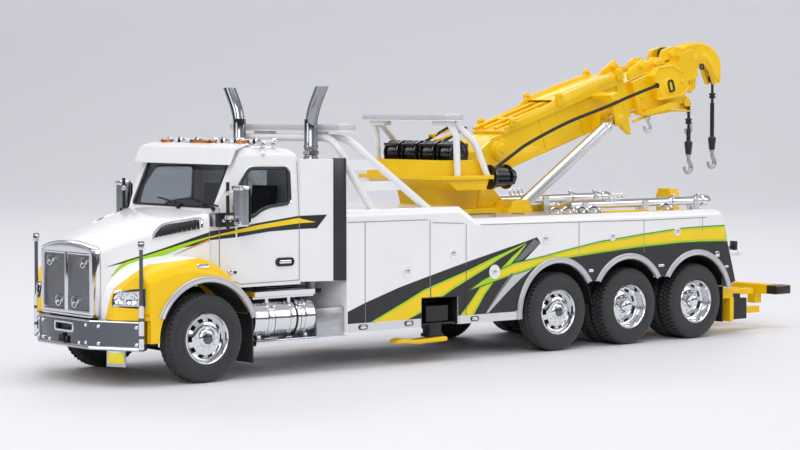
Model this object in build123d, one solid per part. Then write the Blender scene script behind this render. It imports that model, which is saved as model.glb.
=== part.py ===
from build123d import *
import os
from math import cos, sin, radians, hypot

# Rotator tow truck, a 1:50 die-cast scale model, in millimetres.
# Sizes below are written with x = 0 at the steered axle, -X to the front of the truck,
# +Y to its right-hand side, +Z up and z = 0 on the ground. save() moves every piece so
# that the part's own origin is the middle of its bounding box, on the ground.

# ---------------------------------------------------------------- driving sizes
FRONT_X = -24.0            # front face of the bumper
TAIL_X = 211.0             # rear face of the underlift's cross bar
ORIGIN_X = (FRONT_X + TAIL_X) / 2
FIT = 0.3                  # running gap between pieces that move past each other
PIN_FIT = 0.07             # radial gap of a pin in its bore

TYRE_R = 10.5
TYRE_W = 5.7
RIM_R = 6.1
TRACK_Y = 24.5             # outer face of the outer tyres
DUAL_GAP = 0.8             # space between twin tyres
PIN_R = 0.8                # wheel shafts
FRONT_AXLE_X = 0.0
PUSHER_X = 113.2
DRIVE_1_X = 140.1
DRIVE_2_X = 166.4

KINGPIN_Y = 16.2
KINGPIN_R = 0.7
STEER_ARM = 3.6            # from kingpin to tie-rod pin
TIE_ROD_PIN_R = 0.35
TIE_ROD_DRIFT = 0.22       # the pin's arc, taken up by the rod's eyes

RAIL_IN = 6.6
RAIL_OUT = 8.6
RAIL_LOW = 14.6
RAIL_TOP = 20.0
RAIL_FRONT_X = -17.0
RAIL_REAR_X = 183.0

BUMPER_LOW = 8.7
BUMPER_TOP = 15.2
BUMPER_HALF = 11.3         # half width of its flat middle
BUMPER_END_Y = 23.8
BUMPER_END_X = -17.2
BUMPER_THICK = 1.2
ROD_X = -17.7
ROD_Y = 23.4
ROD_TOP = 33.9
ROD_R = 0.45

HOOD_REAR_X = 4.7
FENDER_Y = 24.4            # outer face of the front fenders
FENDER_ROLL = 4.0          # rounding of their outer edge
WELL_R = 13.3              # wheel arches, front
WELL_IN_Y = 14.4

CAB_Y = 20.8               # half width of the cab
CAB_LOW = 21.7
CAB_REAR_X = 30.0
CAB_WALL = 0.9
ROOF_Z = 55.3

BODY_Y = 25.0              # half width of the tow body
BODY_X = 41.0
BODY_LOW = 9.4
BODY_FRONT_TOP = 39.5
BODY_TOP = 36.2
BODY_ROLL = 1.9            # rounding of its long top edges
DECK_Z = 34.8
DECK_Y = 22.5
DECK_X = 76.0
ARCH_R = 13.1
ARCH_TRIM = 1.5
SKIN = 0.9

POCKET_X = (64.9, 77.2)    # outrigger pocket
POCKET_TOP = 16.7

TURRET_X = 98.0
TURRET_Z = 36.7            # underside of what turns
SPIGOT_R = 4.0             # short spigot in the turret ring
HINGE_X = 107.0
HINGE_Z = 53.0
HINGE_R = 1.2
BOOM_ANGLE = 17.6
CYL_X = 110.3
CYL_Z = 37.5
CYL_Y = 11.5
CYL_PIN_R = 0.7
EYE_U = 40.2               # rod eye, along and across the boom
EYE_W = -3.8
EYE_DRIFT = 0.6            # room in the rod eyes for the arc's drift
BARREL_R = 1.7
BARREL_LEN = 35.5
ROD_BAR_R = 1.15

EPS = 0.01


# ---------------------------------------------------------------- small helpers
def block(x0, x1, y0, y1, z0, z1):
    return Pos((x0 + x1) / 2, (y0 + y1) / 2, (z0 + z1) / 2) * Box(x1 - x0, y1 - y0, z1 - z0)


def side_prism(points, y0, y1):
    """An outline drawn in x and z, thick from y0 to y1."""
    face = Face(Wire.make_polygon([Vector(x, y0, z) for x, z in points], close=True))
    return Part() + extrude(face, amount=y1 - y0, dir=(0, 1, 0))


def front_prism(points, x0, x1):
    """An outline drawn in y and z, thick from x0 to x1."""
    face = Face(Wire.make_polygon([Vector(x0, y, z) for y, z in points], close=True))
    return Part() + extrude(face, amount=x1 - x0, dir=(1, 0, 0))


def plan_prism(points, z0, z1):
    """An outline drawn in x and y, thick from z0 to z1."""
    face = Face(Wire.make_polygon([Vector(x, y, z0) for x, y in points], close=True))
    return Part() + extrude(face, amount=z1 - z0, dir=(0, 0, 1))


def bar(start, end, radius):
    start, end = Vector(*start), Vector(*end)
    run = end - start
    upright = (Align.CENTER, Align.CENTER, Align.MIN)
    return Plane(origin=start, z_dir=run) * Cylinder(radius, run.length, align=upright)


def lateral(x, z, radius, y0, y1):
    return bar((x, y0, z), (x, y1, z), radius)


def tube(points, bend, radius):
    path = FilletPolyline(*points, radius=bend)
    start = Plane(origin=path @ 0, z_dir=path % 0)
    return Part() + sweep(start * Circle(radius), path=path)


def both(shape):
    """The shape and its mirror image across the truck."""
    return Part() + shape + mirror(shape, about=Plane.XZ)


def on_boom(shape):
    """Places what is drawn along the boom: x from the hinge, z across the boom."""
    return Location((HINGE_X, 0, HINGE_Z), (0, -BOOM_ANGLE, 0)) * shape


def boom_point(u, w):
    a = radians(BOOM_ANGLE)
    return HINGE_X + u * cos(a) - w * sin(a), HINGE_Z + u * sin(a) + w * cos(a)


# ---------------------------------------------------------------- wheels
def tyre(outer_y):
    """One tyre on the +Y side; outer_y is its outer face."""
    # columns: radius, depth behind the outer face
    profile = [
        (RIM_R, 0.4), (RIM_R + 1.0, 0.0), (TYRE_R - 0.9, 0.15), (TYRE_R, 1.1),
        (TYRE_R, TYRE_W - 1.1), (TYRE_R - 0.9, TYRE_W - 0.15), (RIM_R + 1.0, TYRE_W), (RIM_R, TYRE_W - 0.4),
    ]
    face = Face(Wire.make_polygon([Vector(0, outer_y - d, r) for r, d in profile], close=True))
    return Part() + revolve(face, axis=Axis.Y, revolution_arc=360)


def rim(outer_y, profile):
    """A wheel disc on the +Y side from its half section; columns: radius, depth."""
    face = Face(Wire.make_polygon([Vector(0, outer_y - d, r) for r, d in profile], close=True))
    return Part() + revolve(face, axis=Axis.Y, revolution_arc=360)


RIM_OUT = RIM_R - 0.03
RIM_BACK = TYRE_W - 0.5


def domed_rim(outer_y):
    """Steer and pusher wheel: the disc comes forward to the hub."""
    shape = rim(outer_y, [
        (0.0, -0.3), (1.5, -0.3), (1.9, 0.5), (3.5, 0.5), (4.7, 1.5), (5.3, 1.5), (5.4, 0.5), (RIM_OUT, 0.5),
        (RIM_OUT, RIM_BACK), (5.3, RIM_BACK), (5.1, 2.3), (0.0, 2.3),
    ])
    for k in range(10):
        hole = Rot(0, 36 * k, 0) * lateral(4.35, 0, 0.42, outer_y - 4, outer_y + 1)
        shape -= hole
    return shape


def dished_rim(outer_y):
    """Drive wheel: the disc lies deep, with the axle hub standing out of it."""
    shape = rim(outer_y, [
        (0.0, 0.6), (1.4, 0.6), (1.6, 1.3), (2.0, 3.2), (4.6, 3.4), (5.2, 0.9), (5.4, 0.5), (RIM_OUT, 0.5),
        (RIM_OUT, RIM_BACK), (0.0, RIM_BACK),
    ])
    for k in range(5):
        hole = Rot(0, 72 * k, 0) * lateral(3.6, 0, 0.6, outer_y - 5, outer_y - 3)
        shape -= hole
    return shape


def at_axle(shape, x):
    return Pos(x, 0, TYRE_R) * shape


def front_tyre():
    return at_axle(tyre(TRACK_Y), FRONT_AXLE_X)


def front_rim():
    shape = domed_rim(TRACK_Y) - lateral(0, 0, PIN_R + PIN_FIT, 0, TRACK_Y - 1.4)
    return at_axle(shape, FRONT_AXLE_X)


def pusher_tyres():
    return both(at_axle(tyre(TRACK_Y), PUSHER_X))


def pusher_rims():
    shaft = lateral(0, 0, PIN_R, -TRACK_Y + 2, TRACK_Y - 2)
    return at_axle(both(domed_rim(TRACK_Y)) + shaft, PUSHER_X)


INNER_TYRE_Y = TRACK_Y - TYRE_W - DUAL_GAP


def drive_tyres(x):
    return both(at_axle(tyre(TRACK_Y) + tyre(INNER_TYRE_Y), x))


def drive_rims(x):
    inner = rim(INNER_TYRE_Y, [
        (0.0, -DUAL_GAP - 0.5), (1.5, -DUAL_GAP - 0.5), (1.5, 0.5), (RIM_OUT, 0.5),
        (RIM_OUT, RIM_BACK), (5.3, RIM_BACK), (5.3, 2.0), (0.0, 2.0),
    ])
    shaft = lateral(0, 0, PIN_R, -TRACK_Y + 3, TRACK_Y - 3)
    return at_axle(both(dished_rim(TRACK_Y) + inner) + shaft, x)


# ---------------------------------------------------------------- steering
LUG_R = 1.5


def kingpin_knuckle():
    """Right-hand knuckle: two lugs on the kingpin, a web, the stub shaft and the steering arm."""
    y = KINGPIN_Y
    web_y = y + LUG_R + 0.5
    low, high = TYRE_R - 3.2, TYRE_R + 3.2
    lug = 1.0
    shape = bar((0, y, low), (0, y, high), KINGPIN_R)
    for z0 in (low, high - lug):
        shape += bar((0, y, z0), (0, y, z0 + lug), LUG_R)
        shape += block(-LUG_R, LUG_R, y, web_y, z0, z0 + lug)
    shape += block(-LUG_R, LUG_R, web_y - 0.6, web_y, low, high)
    shape += lateral(0, TYRE_R, PIN_R, web_y - 0.3, TRACK_Y - 2.0)
    arm_z = low - 0.8
    shape += block(-0.7, STEER_ARM + 0.7, y - 0.7, y + 0.7, arm_z, low)
    shape += bar((0, y, arm_z), (0, y, low), LUG_R)
    shape += bar((STEER_ARM, y, arm_z - 1.4), (STEER_ARM, y, arm_z), TIE_ROD_PIN_R)
    return shape


def tie_rod():
    arm_z = TYRE_R - 3.2 - 0.8
    low, high = arm_z - 1.2, arm_z - 0.2
    eye = TIE_ROD_PIN_R + TIE_ROD_DRIFT + 0.05
    shape = lateral(STEER_ARM, (low + high) / 2, 0.4, -KINGPIN_Y, KINGPIN_Y)
    shape += both(bar((STEER_ARM, KINGPIN_Y, low), (STEER_ARM, KINGPIN_Y, high), eye + 0.5))
    shape -= both(bar((STEER_ARM, KINGPIN_Y, low - 1), (STEER_ARM, KINGPIN_Y, high + 1), eye))
    return shape


def front_axle():
    """Forged beam with an eye round each kingpin, under two leaf springs."""
    z = TYRE_R
    eye_half = 3.2 - 1.0 - 0.15
    shape = block(-1.2, 1.2, -KINGPIN_Y, KINGPIN_Y, z - 1.3, z + 0.3)
    shape += both(bar((0, KINGPIN_Y, z - eye_half), (0, KINGPIN_Y, z + eye_half), LUG_R - 0.3))
    shape -= both(bar((0, KINGPIN_Y, z - 4), (0, KINGPIN_Y, z + 4), KINGPIN_R + PIN_FIT))
    spring = side_prism(
        [(-11, RAIL_LOW), (-9, RAIL_LOW), (-3, z + 1.3), (3, z + 1.3), (9, RAIL_LOW), (11, RAIL_LOW),
         (3.5, z + 0.3), (-3.5, z + 0.3)],
        RAIL_IN, RAIL_OUT)
    return shape + both(spring)


# ---------------------------------------------------------------- chassis
def chassis_frame():
    rail = block(RAIL_FRONT_X, RAIL_REAR_X, RAIL_IN, RAIL_OUT, RAIL_LOW, RAIL_TOP)
    web = block(RAIL_FRONT_X - 1, RAIL_REAR_X + 1, RAIL_IN - 1, RAIL_OUT - 0.7, RAIL_LOW + 0.7, RAIL_TOP - 0.7)
    shape = both(rail - web)
    for x in (-16, 31, 46, 58, 84, 96, 126, 152, 171):
        shape += block(x - 1.2, x + 1.2, -RAIL_OUT + 0.3, RAIL_OUT - 0.3, RAIL_LOW + 0.6, RAIL_TOP - 0.6)
    # brackets out to the bumper, the cab's mounts and the exhausts' shelf
    shape += both(block(FRONT_X + BUMPER_THICK, RAIL_FRONT_X + 2, RAIL_IN, RAIL_OUT, BUMPER_LOW + 2.5, 15.5))
    for x in (12.5, 27.0):
        shape += both(block(x - 1.5, x + 1.5, RAIL_IN, RAIL_OUT, RAIL_TOP - 0.5, CAB_LOW))
    shape += block(36.0, 39.2, -17.2, 17.2, RAIL_TOP - 1.0, RAIL_TOP)
    return shape + outrigger_housing()


def axle_housings():
    shape = Part()
    # columns: axle x, half length of the housing, radius of the gear casing (0 for none)
    for x, half, casing in ((PUSHER_X, 17.0, 0), (DRIVE_1_X, 11.6, 3.9), (DRIVE_2_X, 11.6, 3.9)):
        piece = lateral(x, TYRE_R, 1.9, -half, half)
        if casing:
            piece += Pos(x, 0, TYRE_R) * Sphere(casing)
        piece += both(block(x - 3, x + 3, RAIL_IN, RAIL_OUT, TYRE_R - 0.5, RAIL_LOW))
        piece -= lateral(x, TYRE_R, PIN_R + PIN_FIT, -half - 1, half + 1)
        shape += piece
    return shape + front_axle()


def engine_block():
    return block(-14.8, 4, -6.3, 6.3, 13.5, 30) + block(4, 27, -4, 4, 11.5, 18.5)


def front_bumper():
    plan = [
        (FRONT_X, -BUMPER_HALF), (BUMPER_END_X, -BUMPER_END_Y), (BUMPER_END_X + BUMPER_THICK, -BUMPER_END_Y + 0.6),
        (FRONT_X + BUMPER_THICK, -BUMPER_HALF + 0.5), (FRONT_X + BUMPER_THICK, BUMPER_HALF - 0.5),
        (BUMPER_END_X + BUMPER_THICK, BUMPER_END_Y - 0.6), (BUMPER_END_X, BUMPER_END_Y), (FRONT_X, BUMPER_HALF),
    ]
    shape = plan_prism(plan, BUMPER_LOW, BUMPER_TOP)
    shape -= block(FRONT_X - 1, FRONT_X + 3, -4.0, 4.0, 12.2, 14.2)
    shape -= block(FRONT_X - 1, FRONT_X + 3, -2.6, 2.6, 9.6, 11.0)
    return shape + marker_rods()


def marker_rods():
    shape = bar((ROD_X, ROD_Y, BUMPER_LOW), (ROD_X, ROD_Y, ROD_TOP), ROD_R)
    shape += bar((ROD_X, ROD_Y, ROD_TOP - 1.2), (ROD_X, ROD_Y, ROD_TOP), 0.7)
    shape += bar((ROD_X, ROD_Y, BUMPER_LOW), (ROD_X, ROD_Y, 19.0), 0.65)
    return both(shape)


# ---------------------------------------------------------------- hood and fenders
# Hood sections; columns: x, half width, crown height, fall from crown to corner, corner radius
HOOD_SECTIONS = [
    (-21.0, 11.7, 33.2, 0.9, 2.0),
    (-8.0, 14.5, 37.4, 0.8, 2.4),
    (HOOD_REAR_X, 18.7, 40.3, 0.6, 2.2),
]
HOOD_LOW = 16.0
HALF_ROOT = 0.7071


def hood_section(x, half, crown, fall, corner, inset):
    """Upright sides, round corners and a top that is crowned a little."""
    half, crown, corner = half - inset, crown - inset, corner - inset * 0.4
    top, knee = crown - fall, half - corner
    shift = corner * (1 - HALF_ROOT)
    right = [(half, HOOD_LOW), (half, top - corner), (half - shift, top - shift), (knee, top)]
    places = [Vector(x, y, z) for y, z in right]
    others = [Vector(x, -y, z) for y, z in reversed(right)]
    edges = [Edge.make_line(places[0], places[1]), Edge.make_three_point_arc(*places[1:4]),
             Edge.make_three_point_arc(places[3], Vector(x, 0, crown), others[0]),
             Edge.make_three_point_arc(*others[0:3]), Edge.make_line(others[2], others[3]),
             Edge.make_line(others[3], places[0])]
    return Face(Wire(edges))


def hood_loft(inset):
    sections = []
    for row in HOOD_SECTIONS:
        sections.append(hood_section(*row, inset))
    return Part() + loft(sections)


def wheel_well():
    well = lateral(FRONT_AXLE_X, TYRE_R, WELL_R, WELL_IN_Y, FENDER_Y + 2)
    return both(well)


def fender_form():
    crest = [(-20.8, 10.2), (-21.2, 17.0), (-20.0, 22.6), (-16.4, 26.9), (-10.6, 29.1), (-4.0, 29.8),
             (2.4, 28.6), (7.8, 25.4), (11.6, 20.6), (13.6, 15.6)]
    line = Edge.make_spline([Vector(x, 10.0, z) for x, z in crest])
    foot = [line @ 1, Vector(11.0, 10.0, 15.6), Vector(11.0, 10.0, 10.2), line @ 0]
    edges = [line] + [Edge.make_line(a, b) for a, b in zip(foot, foot[1:])]
    form = Part() + extrude(Face(Wire(edges)), amount=FENDER_Y - 10.0, dir=(0, 1, 0))
    # the crest rolls over to the outside, and the front turns back round the corner
    outer = form.edges().filter_by(GeomType.BSPLINE).sort_by(Axis.Y)[-1]
    form = fillet(outer, FENDER_ROLL)
    form -= plan_prism([(-26, 16.6), (-21.6, 16.6), (-15.0, 25.4), (-26, 25.4)], 0, 40)
    behind = BUMPER_THICK + FIT
    form -= plan_prism([(-40, 0), (FRONT_X + behind, 0), (FRONT_X + behind, BUMPER_HALF - 0.5),
                        (BUMPER_END_X + behind, BUMPER_END_Y - 0.6), (BUMPER_END_X + behind, 40), (-40, 40)],
                       0, BUMPER_TOP + FIT)
    return form - block(-26, -20.95, 0, 11.8, 0, 40)


def headlamp_zone():
    return side_prism([(-24, 18.7), (-24, 22.0), (-16.4, 23.0), (-16.4, 18.3)], 15.8, 26)


def hood_shell():
    shape = hood_loft(0) - hood_loft(1.0)
    shape -= wheel_well()
    return shape


def front_fenders():
    form = fender_form() - hood_loft(0) - headlamp_zone() - lateral(0, TYRE_R, WELL_R, 9, FENDER_Y + 2)
    return both(form) - cab_form(0)


def headlamps():
    form = fender_form() & headlamp_zone()
    return both(form) - hood_loft(0)


def grille():
    half = 11.4
    outline = [(-half, 15.6), (-half, 31.4), (-10.2, 32.4), (-2.0, 33.4), (2.0, 33.4), (10.2, 32.4), (half, 31.4),
               (half, 15.6)]
    shape = front_prism(outline, -23.4, -21.02)
    for y0, y1 in ((-10.2, -1.0), (1.0, 10.2)):
        shape -= block(-24, -22.4, y0, y1, 17.0, 30.4)
    bars = Part()
    for k in range(9):
        for side in (-1, 1):
            y = side * (2.0 + 0.9 * k)
            bars += block(-22.9, -22.3, y - 0.15, y + 0.15, 17.0, 30.4)
    return shape + bars


# ---------------------------------------------------------------- cab
CAB_SIDE = [
    (CAB_REAR_X, CAB_LOW), (9.0, CAB_LOW), (4.7, 29.0), (4.7, 39.2), (6.0, 40.0), (11.6, ROOF_Z - 3.3),
    (13.0, ROOF_Z - 0.9), (16.0, ROOF_Z), (22.0, ROOF_Z), (27.2, ROOF_Z - 0.7), (29.2, ROOF_Z - 1.8),
    (CAB_REAR_X, ROOF_Z - 3.4),
]
WINDOW_TOP = ROOF_Z - 5.3
WINDOW = [(15.3, WINDOW_TOP), (26.8, WINDOW_TOP - 0.1), (26.8, 41.4), (20.6, 40.8), (18.2, 40.0), (16.2, 38.7),
          (11.8, 38.6), (10.4, 40.6), (11.9, 45.6)]
ROOF_ROLL = 2.6            # rounding where the roof meets the sides
LEAN = 0.07                # slope of the upper sides in towards the roof


def cab_arch(half, roof):
    """The cab seen from the front, as a body to cut its length from."""
    waist, knee = 38.0, roof - ROOF_ROLL
    upper = half - (knee - waist) * LEAN
    shift = ROOF_ROLL * (1 - HALF_ROOT)
    right = [(half, CAB_LOW - 1), (half, waist), (upper, knee), (upper - shift, roof - shift),
             (upper - ROOF_ROLL, roof)]
    places = [Vector(0, y, z) for y, z in right]
    others = [Vector(0, -y, z) for y, z in reversed(right)]
    edges = [Edge.make_line(places[0], places[1]), Edge.make_line(places[1], places[2]),
             Edge.make_three_point_arc(*places[2:5]), Edge.make_line(places[4], others[0]),
             Edge.make_three_point_arc(*others[0:3]), Edge.make_line(others[2], others[3]),
             Edge.make_line(others[3], others[4]), Edge.make_line(others[4], places[0])]
    return Part() + extrude(Face(Wire(edges)), amount=CAB_REAR_X + 1, dir=(1, 0, 0))


def cab_form(inset):
    points = CAB_SIDE
    if inset:
        points = [
            (CAB_REAR_X - inset, CAB_LOW + inset), (9.6, CAB_LOW + inset), (4.7 + inset, 29.4),
            (4.7 + inset, 39.0), (6.0 + 1.1 * inset, 40.0), (11.6 + 1.1 * inset, ROOF_Z - 3.5),
            (13.2 + inset, ROOF_Z - 1.3),
            (16.4 + inset * 0.4, ROOF_Z - inset), (21.8, ROOF_Z - inset), (26.8, ROOF_Z - 0.7 - inset),
            (28.6, ROOF_Z - 1.9 - inset * 0.8), (CAB_REAR_X - inset, ROOF_Z - 4.0),
        ]
    half = CAB_Y - inset
    form = side_prism(points, -half, half)
    for side in (-1, 1):
        corner = plan_prism(
            [(0, side * (17.6 - inset)), (4.7, side * (17.6 - inset)), (11.0, side * half), (11.0, side * 30),
             (0, side * 30)], 0, 60)
        form -= corner
    return form & cab_arch(half, ROOF_Z - inset)


WINDSCREEN_HALF = 17.2


def windscreen_zone(grow):
    half, low, top = WINDSCREEN_HALF + grow, 40.8 - grow, ROOF_Z - 4.1 + grow
    return front_prism([(-half, low), (half, low), (half, top), (-half, top)], 0, 17)


def side_window_zone():
    return side_prism(WINDOW, -30, 30)


def cab_shell():
    shape = cab_form(0) - cab_form(CAB_WALL)
    shape -= windscreen_zone(0)
    shape -= side_window_zone()
    shape -= block(CAB_REAR_X - 3, CAB_REAR_X + 1, -8, 8, 43, 50)
    return shape


def cab_glass():
    skin = cab_form(0.25) - cab_form(CAB_WALL - 0.1)
    screen = skin & windscreen_zone(0)
    sides = skin & side_window_zone()
    rear = skin & block(CAB_REAR_X - 3, CAB_REAR_X + 1, -8, 8, 43, 50)
    return Part() + screen + sides + rear


def cab_interior():
    floor_z = CAB_LOW + CAB_WALL
    shape = block(10.5, 28.6, -18.8, 18.8, floor_z, floor_z + 2.0)
    shape += side_prism([(10.2, floor_z), (8.9, 25.0), (7.0, 28.6), (7.0, 38.6), (9.4, 40.4), (12.4, 38.0),
                         (12.4, floor_z)], -15.6, 15.6)
    for y in (-10.0, 10.0):
        shape += block(19, 26.5, y - 4.2, y + 4.2, floor_z + 2.0, 33.0)
        shape += side_prism([(24.5, 33.0), (26.5, 33.0), (28.0, 45.5), (26.2, 45.5)], y - 4.0, y + 4.0)
    wheel = Pos(14.9, -10, 38.6) * Rot(0, -60, 0) * (Torus(3.6, 0.35) + Cylinder(0.5, 0.8))
    spoke = Pos(14.9, -10, 38.6) * Rot(0, -60, 0) * block(-3.6, 3.6, -0.3, 0.3, -0.2, 0.2)
    column = bar((14.9, -10, 38.6), (11.9, -10, 36.8), 0.45)
    return shape + wheel + spoke + column


def sun_visor():
    # columns: x, height above the roof's top
    rows = ((9.6, -4.3), (9.0, -4.1), (10.6, -0.3), (14.2, 0.7), (14.2, 0.1), (11.3, -0.8))
    return side_prism([(x, ROOF_Z + rise) for x, rise in rows], -20.4, 20.4) - cab_form(0)


def roof_fittings():
    """A row of marker lamps with a row of horns behind it."""
    shape = Part()
    for y in (-17.0, -8.0, 0.0, 8.0, 17.0):
        wide = 3.0 if y == 0 else 1.1
        shape += block(14.6, 17.2, y - wide, y + wide, ROOF_Z - 0.6, ROOF_Z + 1.4)
    for y in (-19.0, -12.0, -5.5, 5.5, 12.0, 19.0):
        shape += bar((18.5, y, ROOF_Z + 1.1), (24.5, y, ROOF_Z + 1.1), 0.45)
        shape += Pos(18.5, y, ROOF_Z + 1.1) * Rot(0, -90, 0) * Cone(0.45, 1.1, 1.8)
        shape += block(21.6, 22.6, y - 0.4, y + 0.4, ROOF_Z - 0.6, ROOF_Z + 1.1)
    return shape - cab_form(0)


def mirrors():
    head = block(7.6, 10.4, 23.4, 27.6, 37.0, 46.1)
    head = fillet(head.edges().filter_by(Axis.Z), 1.2)
    head = fillet(head.faces().sort_by(Axis.Z)[-1].edges(), 1.0)
    shape = head + bar((7.2, 22.6, 36.6), (7.2, 22.6, 46.6), 0.35)
    shape += bar((7.2, 22.6, 38.6), (9.0, 25.0, 38.6), 0.4) + bar((7.2, 22.6, 44.4), (9.0, 25.0, 44.4), 0.4)
    shape += block(5.2, 10.4, 17.0, 21.3, 36.4, 39.6)
    shape += block(6.6, 8.0, 21.2, 23.0, 38.1, 38.9)
    return both(shape) - cab_form(0)


def side_panels():
    """Fairings behind the cab, flaring out to the width of the tow body."""
    plan = [(CAB_REAR_X + EPS, CAB_Y), (38.6, 23.6), (38.6, 22.8), (CAB_REAR_X + EPS, CAB_Y - 0.8)]
    seal = [(38.6, 23.6), (40.3, 24.9), (40.3, 24.1), (38.6, 22.8)]
    return both(plan_prism(plan, 22.2, 52.1) + plan_prism(seal, 22.4, 51.8))


def exhaust_stacks():
    x, y = 37.6, 15.1
    pipe = tube([(x, y, 45.0), (x, y, 62.6), (x, y + 5.6, 71.5)], 4.0, 1.55)
    pipe -= tube([(x, y, 44.0), (x, y, 62.6), (x, y + 6.2, 72.5)], 4.0, 1.15)
    pipe += bar((x, y, 51.4), (x, y, 52.6), 1.9)
    shape = pipe - Pos(x, y + 3.0, 69.8) * block(-6, 6, -8, 8, 0, 6)
    shape += bar((x, y, RAIL_TOP), (x, y, 26.0), 1.5) + bar((x, y, 26.0), (x, y, 48.0), 2.3)
    return both(shape)


TANK_X = (14.2, 32.2)
TANK_Y = 19.1
TANK_Z = 13.8
TANK_R = 4.9


def fuel_tanks():
    x0, x1 = TANK_X
    shape = bar((x0, TANK_Y, TANK_Z), (x1, TANK_Y, TANK_Z), TANK_R)
    for x in (18.6, 25.2, 29.6):
        shape += bar((x - 0.45, TANK_Y, TANK_Z), (x + 0.45, TANK_Y, TANK_Z), TANK_R + 0.25)
        shape += block(x - 0.45, x + 0.45, RAIL_OUT, TANK_Y, 17.2, 18.2)
    shape += block(x0, x1, 19.6, 23.8, 19.4, 20.6)
    for x in (18.6, 25.2):
        shape += block(x - 0.45, x + 0.45, 21.6, 22.4, 17.0, 19.6)
    shape += block(x0, x1 + 10, 20.6, 24.2, 7.7, 8.7)
    for x in (16.5, 30.5):
        shape += block(x - 0.6, x + 0.6, 20.8, 22.2, 8.6, 11.0)
    shape += block(TANK_X[1] + 0.3, BODY_X - 0.2, RAIL_OUT, 24.0, 8.7, 15.6)
    return both(shape)


def mud_flaps():
    front = block(13.1, 13.6, 17.0, 24.0, 3.8, 15.6) + block(13.1, 13.6, RAIL_OUT, 17.1, 14.6, 15.6)
    rear = block(177.5, 178.0, 12.6, 23.9, 4.0, 14.0)
    return both(front + rear)


# ---------------------------------------------------------------- tow body
ARCH_XS = (PUSHER_X - 1.0, DRIVE_1_X - 1.4, DRIVE_2_X - 0.9)
PANEL_LOW = 18.1


def tow_body():
    side = [
        (BODY_X, BODY_LOW), (BODY_X, BODY_FRONT_TOP), (78.5, BODY_FRONT_TOP), (83.8, BODY_TOP), (173.6, BODY_TOP),
        (175.2, BODY_TOP - 0.6), (176.4, BODY_TOP - 2.2), (178.4, 27.3), (182.0, 15.4), (178.0, 14.0), (99.7, 14.0),
        (99.7, BODY_LOW),
    ]
    shape = rolled(side_prism(side, -BODY_Y, BODY_Y))
    # lowered deck, frame tunnel, space over the rear wheels, outrigger pocket
    shape -= block(DECK_X, 190, -DECK_Y, DECK_Y, DECK_Z, 50)
    shape -= block(30, 190, -RAIL_OUT - 0.4, RAIL_OUT + 0.4, 0, RAIL_TOP)
    shape -= block(99.0, 177.4, -BODY_Y + SKIN, BODY_Y - SKIN, 0, 24.6)
    shape -= block(121.0, 157.0, -30, 30, 0, PANEL_LOW)
    shape -= block(POCKET_X[0], POCKET_X[1], -30, 30, 0, POCKET_TOP)
    for x in ARCH_XS:
        shape -= lateral(x, TYRE_R, ARCH_R, -30, 30)
    # room for the mast at the tail
    shape -= block(175.0, 190, -6.4, 6.4, 0, 50)
    return shape + turret_ring() + tail_lamps()


def rolled(shape):
    """The sheet's long top edges rolled over, and its rear top corners rounded."""
    along = [e for e in shape.edges() if abs(abs(e.center().Y) - BODY_Y) < 0.01 and e.center().Z > BODY_TOP - 0.5
             and e.length > 4]
    return fillet(along, BODY_ROLL)


def arch_band(x, y0, y1, low_front, low_rear):
    ring = lateral(x, TYRE_R, ARCH_R + ARCH_TRIM, y0, y1) - lateral(x, TYRE_R, ARCH_R, y0 - 1, y1 + 1)
    ring -= block(x - 20, x, y0 - 1, y1 + 1, -10, low_front)
    ring -= block(x, x + 20, y0 - 1, y1 + 1, -10, low_rear)
    return ring


def body_trims():
    shape = Part()
    # columns: arch, where its front leg ends, where its rear leg ends
    for x, low_front, low_rear in zip(ARCH_XS, (BODY_LOW, PANEL_LOW, PANEL_LOW), (PANEL_LOW, PANEL_LOW, 14.0)):
        shape += arch_band(x, BODY_Y, BODY_Y + 0.35, low_front, low_rear)
    front = lateral(0, TYRE_R, WELL_R + 1.4, FENDER_Y, FENDER_Y + 0.35)
    front -= lateral(0, TYRE_R, WELL_R, FENDER_Y - 1, FENDER_Y + 2)
    front -= block(-20, 20, FENDER_Y - 1, FENDER_Y + 2, -10, 16.0)
    front -= block(0, 20, FENDER_Y - 1, FENDER_Y + 2, -10, 14.8)
    skirt = block(BODY_X + 0.6, POCKET_X[0] - 0.3, BODY_Y, BODY_Y + 0.3, BODY_LOW, 11.5)
    skirt += block(POCKET_X[1] + 0.3, 97.0, BODY_Y, BODY_Y + 0.3, BODY_LOW, 11.5)
    return both(shape + front + skirt)


def light_pylon():
    """Two tube hoops over the front of the tow body, joined by cross plates at the sides."""
    y = 22.0
    # columns: foot x, knee x, knee z, shoulder x, top x, bend at the shoulder
    rows = ((52.2, 43.6, 50.0, 41.0, 40.8, 5.5), (70.8, 49.0, 53.2, 44.8, 44.5, 4.5))
    hoops = Part()
    for foot_x, knee_x, knee_z, shoulder_x, top_x, bend in rows:
        path = [(foot_x, y, BODY_FRONT_TOP - 1.3), (knee_x, y, knee_z), (shoulder_x, y - 1.0, PYLON_Z),
                (top_x, 0, PYLON_Z)]
        hoops += both(tube(path, [4.0, bend], 0.95))
    plates = Part()
    # columns: low edge, high edge, then the low edge's two ends and the high edge's two ends
    for z0, z1, low_x, high_x in ((44.0, 46.3, (47.8, 61.6), (46.2, 58.4)), (49.2, 51.8, (44.2, 54.4), (43.2, 51.0))):
        plates += side_prism([(low_x[0], z0), (high_x[0], z1), (high_x[1], z1), (low_x[1], z0)], y - 0.45, y + 0.45)
    return hoops + both(plates) - block(30, 90, -30, 30, 30, BODY_FRONT_TOP)


PYLON_Z = 57.1             # height of the hoops' top runs


def pylon_light_bar():
    shape = fillet(block(40.1, 45.3, -24.7, 24.7, 58.7, 60.6).edges().filter_by(Axis.Z), 1.8)
    return shape + both(block(41.6, 43.8, 8.0, 14.0, 57.4, 58.8)) - light_pylon()


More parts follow.
